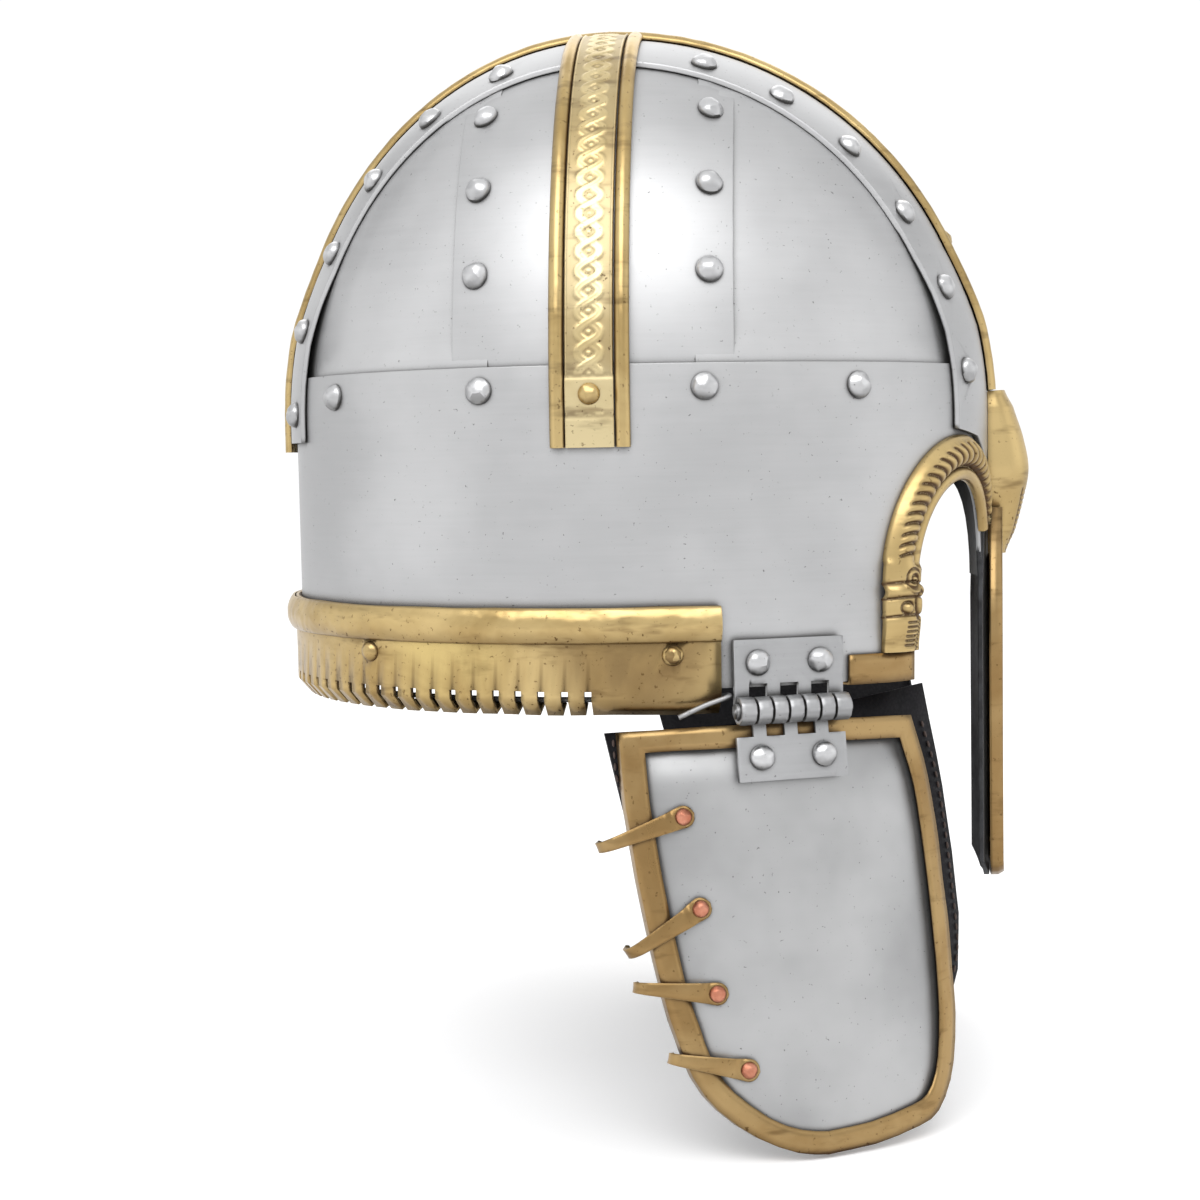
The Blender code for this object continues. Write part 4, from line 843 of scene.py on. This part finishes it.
def makeNasalPanel():
    top = nose["length"] - nose["rise"] + bowl["clearance"]
    inner = eye["nasalHalf"] - nose["binding"] - bowl["clearance"]

    def place(u, v):
        y = (v * 2 - 1) * inner
        foot = nasalEnd(y * eye["nasalHalf"] / inner) - nose["binding"] - bowl["clearance"]
        below = top + (foot - top) * u
        height, depth = twistAt(below, y, inner, {**twist, "swing": 0.0048, "pitch": 0.016, "strand": 0.0021})
        return longPoint(0, y, nose["overLap"] + nose["panel"] + (height - 0.3) * twist["relief"], below), depth

    relief("nasal_panel_relief", (300, 46), place, nose["panel"], "bowl", reliefBrass, ["nasal_panel"])


for side, word in ((-1, "right"), (1, "left")):
    makeEyebrow(side, word)
makeCrestHead()
makeNasalPanel()
print("face made")

# neck guard: its bead and rivets
guard = {"front": 0.037, "top": 0.057, "bead": 0.0107, "beadHeight": 0.0028, "rivetDrop": 0.0715,
         "rivetPlaces": (0.023, -0.071)}


def makeNeckGuard():
    face = bowl["trim"] + bowl["sheet"]
    first = math.acos(guard["front"] / (bowl["frontReach"] + bowl["bandOut"]))

    def bead(u, v):
        angle = first + u * (math.tau - 2 * first)
        rise = max(math.sin(math.pi * (0.05 + 0.90 * v)), 0) ** 0.6
        place = wallPoint(angle, guard["top"] + v * guard["bead"], face + bowl["clearance"])
        height = guard["beadHeight"] * rise + ripple(place, 120, 0.0003) + ripple(place, 420, 0.00012)
        return place + outwardAt(place) * height, 0.5 * spanAt(v, 0.90, 1.0)

    relief("neck_guard_bead_relief", (520, 18), bead, 0.0006, "bowl", brass, ["neck_guard_bead"])
    seats = [seatOn(lambda offset: wallAt(side * arcAt(x), guard["rivetDrop"], offset), face)
             for side in (-1, 1) for x in guard["rivetPlaces"]]
    rivetRow("guard_rivets", seats, crest["rivetRadius"], crest["rivetHeight"], "bowl", brass)


makeNeckGuard()
print("neck guard made")

# cheek guards, laid out from the hinge axis: forward along it and down from it
hinge = {"place": 0.057, "under": 0.0065, "knuckle": 0.00425, "leaf": 0.0016, "hang": 10.035,
         "rivetSpacing": 0.020, "rivetDrop": 0.014, "rivetRadius": 0.0039, "rivetHeight": 0.0029, "rivetSink": 0.0020}
cheek = {"width": 0.105, "height": 0.126, "drop": 0.005, "dish": 0.002, "fold": 0.0008, "layer": 0.0005,
         "rearMargin": 0.004, "frontMargin": 0.0105, "rearFade": (0.08, 0.24), "frontFade": (0.55, 0.80),
         "tuck": 0.0015, "stitch": 0.0032, "stitchIn": 0.0020, "stitchRadius": 0.00045}
cheekRear = ((0.00, -0.468), (0.17, -0.464), (0.34, -0.443), (0.53, -0.411), (0.67, -0.380))
cheekFront = ((0.00, 0.410), (0.10, 0.446), (0.20, 0.468), (0.34, 0.483), (0.50, 0.493), (0.66, 0.495))
# rivet and tip of each hook as shares of the guard's width and height
hookPlaces = (((-0.325, 0.198), (-0.553, 0.258)), ((-0.295, 0.415), (-0.495, 0.510)),
              ((-0.264, 0.615), (-0.482, 0.588)), ((-0.190, 0.797), (-0.400, 0.757)))
hookLook = {"half": 0.0034, "tipHalf": 0.0013, "sheet": 0.0012, "curl": 0.0035, "curlTurn": 150, "step": 0.28,
            "rivetRadius": 0.0025, "rivetHeight": 0.0019, "ring": 0.00035}

hingeReach = bowl["frontReach"] + bowl["bandOut"]
hingeSide = bowl["halfWidth"] + bowl["bandOut"]
hingeAngle = math.acos(hinge["place"] / hingeReach)
hingeWay = Vector((math.cos(hingeAngle) / hingeReach, math.sin(hingeAngle) / hingeSide)).normalized()
hingeStand = hinge["knuckle"] + bowl["clearance"]
hingeMiddle = Vector((hinge["place"], hingeSide * math.sin(hingeAngle))) + hingeWay * hingeStand
hingeTurn = math.atan2(hingeWay.x, hingeWay.y)


def hingeFrame(side, tilt):
    place = Vector((hingeMiddle.x, side * hingeMiddle.y, springZ - bowl["browDrop"] - hinge["under"]))
    return Matrix.Translation(place) @ Euler((side * tilt, 0, -side * hingeTurn)).to_matrix().to_4x4()


def wallFromHinge(forward, offset):
    ahead = Vector((math.cos(hingeTurn), -math.sin(hingeTurn)))
    out = Vector((math.sin(hingeTurn), math.cos(hingeTurn)))
    start = hingeMiddle + ahead * forward
    sizes = ((bowl["frontReach"] + offset) ** -2, (bowl["halfWidth"] + offset) ** -2)
    a = out.x ** 2 * sizes[0] + out.y ** 2 * sizes[1]
    b = 2 * (start.x * out.x * sizes[0] + start.y * out.y * sizes[1])
    c = start.x ** 2 * sizes[0] + start.y ** 2 * sizes[1] - 1
    return (-b + math.sqrt(b * b - 4 * a * c)) / (2 * a)


def cheekPoint(side, forward, drop, offset):
    dish = cheek["dish"] * (max(drop, 0) / (cheek["drop"] + cheek["height"])) ** 2
    local = Vector((forward, side * (wallFromHinge(forward, offset) - dish), -drop))
    return hingeFrame(side, math.radians(hinge["hang"])) @ local


def cheekOut(side, forward, drop, offset):
    step = 0.001
    ahead = cheekPoint(side, forward + step, drop, offset) - cheekPoint(side, forward - step, drop, offset)
    down = cheekPoint(side, forward, drop + step, offset) - cheekPoint(side, forward, drop - step, offset)
    return ahead.cross(down).normalized() * side


def makeHingeRivets(side, word):
    bore = hinge["knuckle"] - hinge["leaf"]
    reach = 0.02
    for down, name, body in ((-1, "upper", "bowl"), (1, "lower", "cheek_guard_" + word)):
        matrix = hingeFrame(side, math.radians(hinge["hang"]) if down > 0 else 0)
        way = (matrix.to_3x3() @ Vector((0, side, 0))).normalized()
        seats = [(matrix @ Vector((x, -side * bore, -down * hinge["rivetDrop"])), way)
                 for x in (-hinge["rivetSpacing"] / 2, hinge["rivetSpacing"] / 2)]
        leaf = cadCopy(f"hinge_{name}_{word}")
        tree = BVHTree.FromBMesh(leaf)
        leaf.free()
        tops = [tree.ray_cast(place + way * reach, -way)[0] for place, _ in seats]
        seats = [(top - way * hinge["rivetSink"], way) for top in tops]
        rivetRow(f"hinge_rivets_{name}_{word}", seats, hinge["rivetRadius"], hinge["rivetHeight"], body,
                 rivetSteel)


def makeHook(side, word, number, rivetShare, tipShare):
    start = Vector((rivetShare[0] * cheek["width"], cheek["drop"] + rivetShare[1] * cheek["height"]))
    tip = Vector((tipShare[0] * cheek["width"], cheek["drop"] + tipShare[1] * cheek["height"]))
    reach = (tip - start).length
    ahead = (tip - start).normalized()
    sideways = Vector((-ahead.y, ahead.x))
    low = bowl["bandOut"] - cheek["fold"] + hookLook["sheet"]
    high = bowl["bandOut"] + bowl["clearance"] + hookLook["sheet"]
    radius = hookLook["curl"] + hookLook["sheet"] / 2
    straight = reach - radius
    curl = radius * math.radians(hookLook["curlTurn"])
    length = hookLook["half"] + straight + curl
    bm = bmesh.new()
    bmesh.ops.create_grid(bm, x_segments=64, y_segments=12, size=0.5)
    for vert in bm.verts:
        along = (vert.co.x + 0.5) * length - hookLook["half"]
        share = min(max(along / (length - hookLook["half"]), 0), 1)
        half = hookLook["half"] + (hookLook["tipHalf"] - hookLook["half"]) * share ** 0.8
        if along < 0:
            half *= math.sqrt(max(1 - (along / hookLook["half"]) ** 2, 0.0001))
        half *= math.sqrt(max(1 - spanAt(share, 0.93, 1.0) ** 2, 0.04))
        across = vert.co.y * 2 * half
        turn = max(along - straight, 0) / radius
        place = min(along, straight) + radius * math.sin(turn)
        offset = low + (high - low) * spanAt(along, 0.002, hookLook["step"] * straight) - radius * (1 - math.cos(turn))
        gap = math.hypot(along, across) - hookLook["rivetRadius"]
        offset += hookLook["ring"] * bellAt(gap, 0.0003, 0.0004) - 0.0003 * (2 * abs(vert.co.y)) ** 3
        spot = start + ahead * place + sideways * across
        vert.co = cheekPoint(side, spot.x, spot.y, offset)
    bm.normal_update()
    middle = min(bm.faces, key=lambda face: (face.calc_center_median() - cheekPoint(side, *start, low)).length)
    if middle.normal.dot(cheekOut(side, *start, low)) < 0:
        bmesh.ops.reverse_faces(bm, faces=bm.faces)
    bmesh.ops.solidify(bm, geom=bm.faces, thickness=hookLook["sheet"])
    node = f"{word}_{number}"
    addPiece(f"hook_{node}_bent", bm, "cheek_guard_" + word, [edgingBrass], ["hook_" + node], 50)
    seat = cheekPoint(side, *start, low)
    row = rivetRow(f"hook_rivet_{node}_head", [(seat, cheekOut(side, *start, low))], hookLook["rivetRadius"],
                   hookLook["rivetHeight"], "cheek_guard_" + word, copper)
    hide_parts("hook_rivet_" + node)


def makeStitches(side, word):
    bm = bmesh.new()
    face = bowl["bandOut"] - 2 * (cheek["fold"] + cheek["layer"]) - bowl["sheet"] - cheek["layer"]
    edges = ((cheekRear, -1, cheek["rearMargin"], cheek["rearFade"], 0.14),
             (cheekFront, 1, cheek["frontMargin"], cheek["frontFade"], 0.64))
    for table, way, wide, fade, last in edges:
        count = int(last * cheek["height"] / cheek["stitch"])
        for k in range(count):
            places = []
            for share in ((k + 0.12) / count * last, (k + 0.80) / count * last):
                margin = wide - (wide + cheek["tuck"]) * spanAt(share, *fade)
                x = throughTable(table, share)[0] * cheek["width"] + way * (margin - cheek["stitchIn"])
                places.append(cheekPoint(side, x, cheek["drop"] + share * cheek["height"], face))
            middle, line = (places[0] + places[1]) / 2, places[1] - places[0]
            knot = bmesh.ops.create_icosphere(bm, subdivisions=2, radius=1)["verts"]
            turn = line.to_track_quat("Z", "X")
            for vert in knot:
                size = cheek["stitchRadius"] * (1 + 0.15 * (chance.random() - 0.5))
                vert.co = middle + turn @ Vector((vert.co.x * size, vert.co.y * size, vert.co.z * line.length / 2))
    addPiece("lining_stitches_" + word, bm, "cheek_guard_" + word, [thread], sharp=80)


for side, word in ((-1, "right"), (1, "left")):
    makeHingeRivets(side, word)
    makeStitches(side, word)
    for number, (rivetShare, tipShare) in enumerate(hookPlaces, 1):
        makeHook(side, word, number, rivetShare, tipShare)
print("cheek guards made")


slotOf = {part["node"]: part["material_slot"] for part in frame["record"]["subparts"]}
finishOf = {"steel": steel, "hinge_steel": hingeSteel, "brass": brass, "copper": copper, "leather": leather}
bodyOf = {name: body_of(piece) for name, piece in cadNodes.items()}
dressed = {node for piece in list(bpy.data.objects) for node in cadNodes
           if piece.name in (node + "_skin", node + "_relief", node + "_bent", node + "_head")}
# how finely a skin is cut for hand work, and how far its faces wander
handWork = {"cheek_edging": (2, 0.00035, 70), "brow_edging": (2, 0.0003, 70), "neck_guard": (1, 0.00025, 60),
            "nasal_binding": (2, 0.0002, 80), "hinge_lower": (2, 0.00008, 90), "hinge_upper": (2, 0.00008, 90),
            "cheek_lining": (2, 0.00025, 60)}
ownFinish = {"neck_guard": guardBrass, "cheek_edging": edgingBrass, "brow_edging": edgingBrass,
             "nasal_binding": edgingBrass, "cheek_plate": guardSteel}


def trimSkin(node):
    stem = next((key for key in (*handWork, *ownFinish) if node.startswith(key)), None)
    bm = cadCopy(node)
    if stem in handWork:
        cuts, size, scale = handWork[stem]
        bmesh.ops.subdivide_edges(bm, edges=bm.edges, cuts=cuts, use_grid_fill=True)
        for vert in bm.verts:
            vert.co += noise.noise_vector(vert.co * scale) * size
    if node == "nasal_binding":  # its ends reach up under the large head, beside the eyebrows
        top = max(vert.co.z for vert in bm.verts)
        for vert in bm.verts:
            if vert.co.z > top - 0.003:
                vert.co.z += 0.012
    body = bodyOf[node][0] if isinstance(bodyOf[node], (list, tuple)) else bodyOf[node]
    finish = ownFinish.get(stem, finishOf[slotOf[node]])
    piece = addPiece(node + "_skin", bm, body, [finish], [node], 46)
    if node.startswith("hinge"):
        piece.modifiers.new("flatFaces", "WEIGHTED_NORMAL").keep_sharp = True


for node in cadNodes:
    if node not in dressed:
        trimSkin(node)
print("trims dressed")


# stage: floor, lights, camera
stage = {"floorSize": 60.0, "floorGap": 0.0006, "floorColour": (0.93, 0.93, 0.935),
         "cameraPlace": (0.0590, -0.6911, -0.1319), "cameraTurn": (85.817, 1.092, 5.389), "lens": 60.5}


def makeFloor():
    bm = bmesh.new()
    bmesh.ops.create_grid(bm, x_segments=8, y_segments=8, size=stage["floorSize"] / 2)
    bmesh.ops.translate(bm, verts=bm.verts, vec=(0, 0, cadLow.z - stage["floorGap"]))
    mesh = bpy.data.meshes.new("floor")
    bm.to_mesh(mesh)
    bm.free()
    material, g = newMaterial("paleFloor", stage["floorColour"])
    fibre = g.noise(260, 4, 0.6)
    colour = g.mix(g.noise(3, 3, 0.5) * 0.6 + fibre * 0.4, (0.90, 0.90, 0.905), stage["floorColour"])
    g.finish(Base_Color=colour, Roughness=0.85 + fibre * 0.1, Normal=g.bump(fibre, 0.00005),
             Emission_Color=(1, 1, 1, 1), Emission_Strength=0.18)
    mesh.materials.append(material)
    floor = bpy.data.objects.new("floor", mesh)
    bpy.context.scene.collection.objects.link(floor)


def makeLight(name, place, size, power, aim=(0, 0, -0.14)):
    data = bpy.data.lights.new(name, "AREA")
    data.shape = "RECTANGLE"
    data.size, data.size_y = size
    data.energy = power
    light = bpy.data.objects.new(name, data)
    light.location = place
    light.rotation_euler = (Vector(aim) - Vector(place)).to_track_quat("-Z", "Y").to_euler()
    light.visible_camera = False
    bpy.context.scene.collection.objects.link(light)


def makeWorld():
    world = bpy.data.worlds.new("studio")
    world.use_nodes = True
    bpy.context.scene.world = world
    g = Graph(world.node_tree)
    way = g.node("ShaderNodeTexCoord", output="Generated")
    height = g.node("ShaderNodeSeparateXYZ", inputs={0: way}, output="Z")
    tone = g.node("ShaderNodeValToRGB", {"stops": [
        (0.0, (0.30, 0.30, 0.30)), (0.47, (0.60, 0.60, 0.60)), (0.495, (1, 1, 1)), (0.665, (1, 1, 1)),
        (0.71, (0.58, 0.58, 0.585)), (0.79, (0.80, 0.80, 0.805)), (0.90, (1, 1, 1)), (1.0, (1, 1, 1))]},
        {0: height * 0.5 + 0.5})
    glow = g.node("ShaderNodeBackground", inputs={"Color": tone, "Strength": 1.04})
    g.node("ShaderNodeOutputWorld", inputs={"Surface": glow})


makeFloor()
makeWorld()
makeLight("keySoftbox", (-0.05, -1.0, 0.95), (1.5, 0.9), 11)
makeLight("fillSoftbox", (-1.3, -0.6, 0.3), (1.0, 1.6), 1.5)
makeLight("faceSoftbox", (1.4, -0.3, 0.2), (1.0, 1.6), 1.5)
makeLight("backSoftbox", (0.0, 1.2, 0.9), (1.6, 1.0), 5)

camera = bpy.data.objects.new("camera", bpy.data.cameras.new("camera"))
camera.data.lens = stage["lens"]
camera.data.sensor_width = 36
camera.data.clip_start = 0.01
camera.location = stage["cameraPlace"]
camera.rotation_euler = [math.radians(turn) for turn in stage["cameraTurn"]]
bpy.context.scene.collection.objects.link(camera)
bpy.context.scene.camera = camera
bpy.context.scene.view_settings.view_transform = "Standard"
print("stage set")
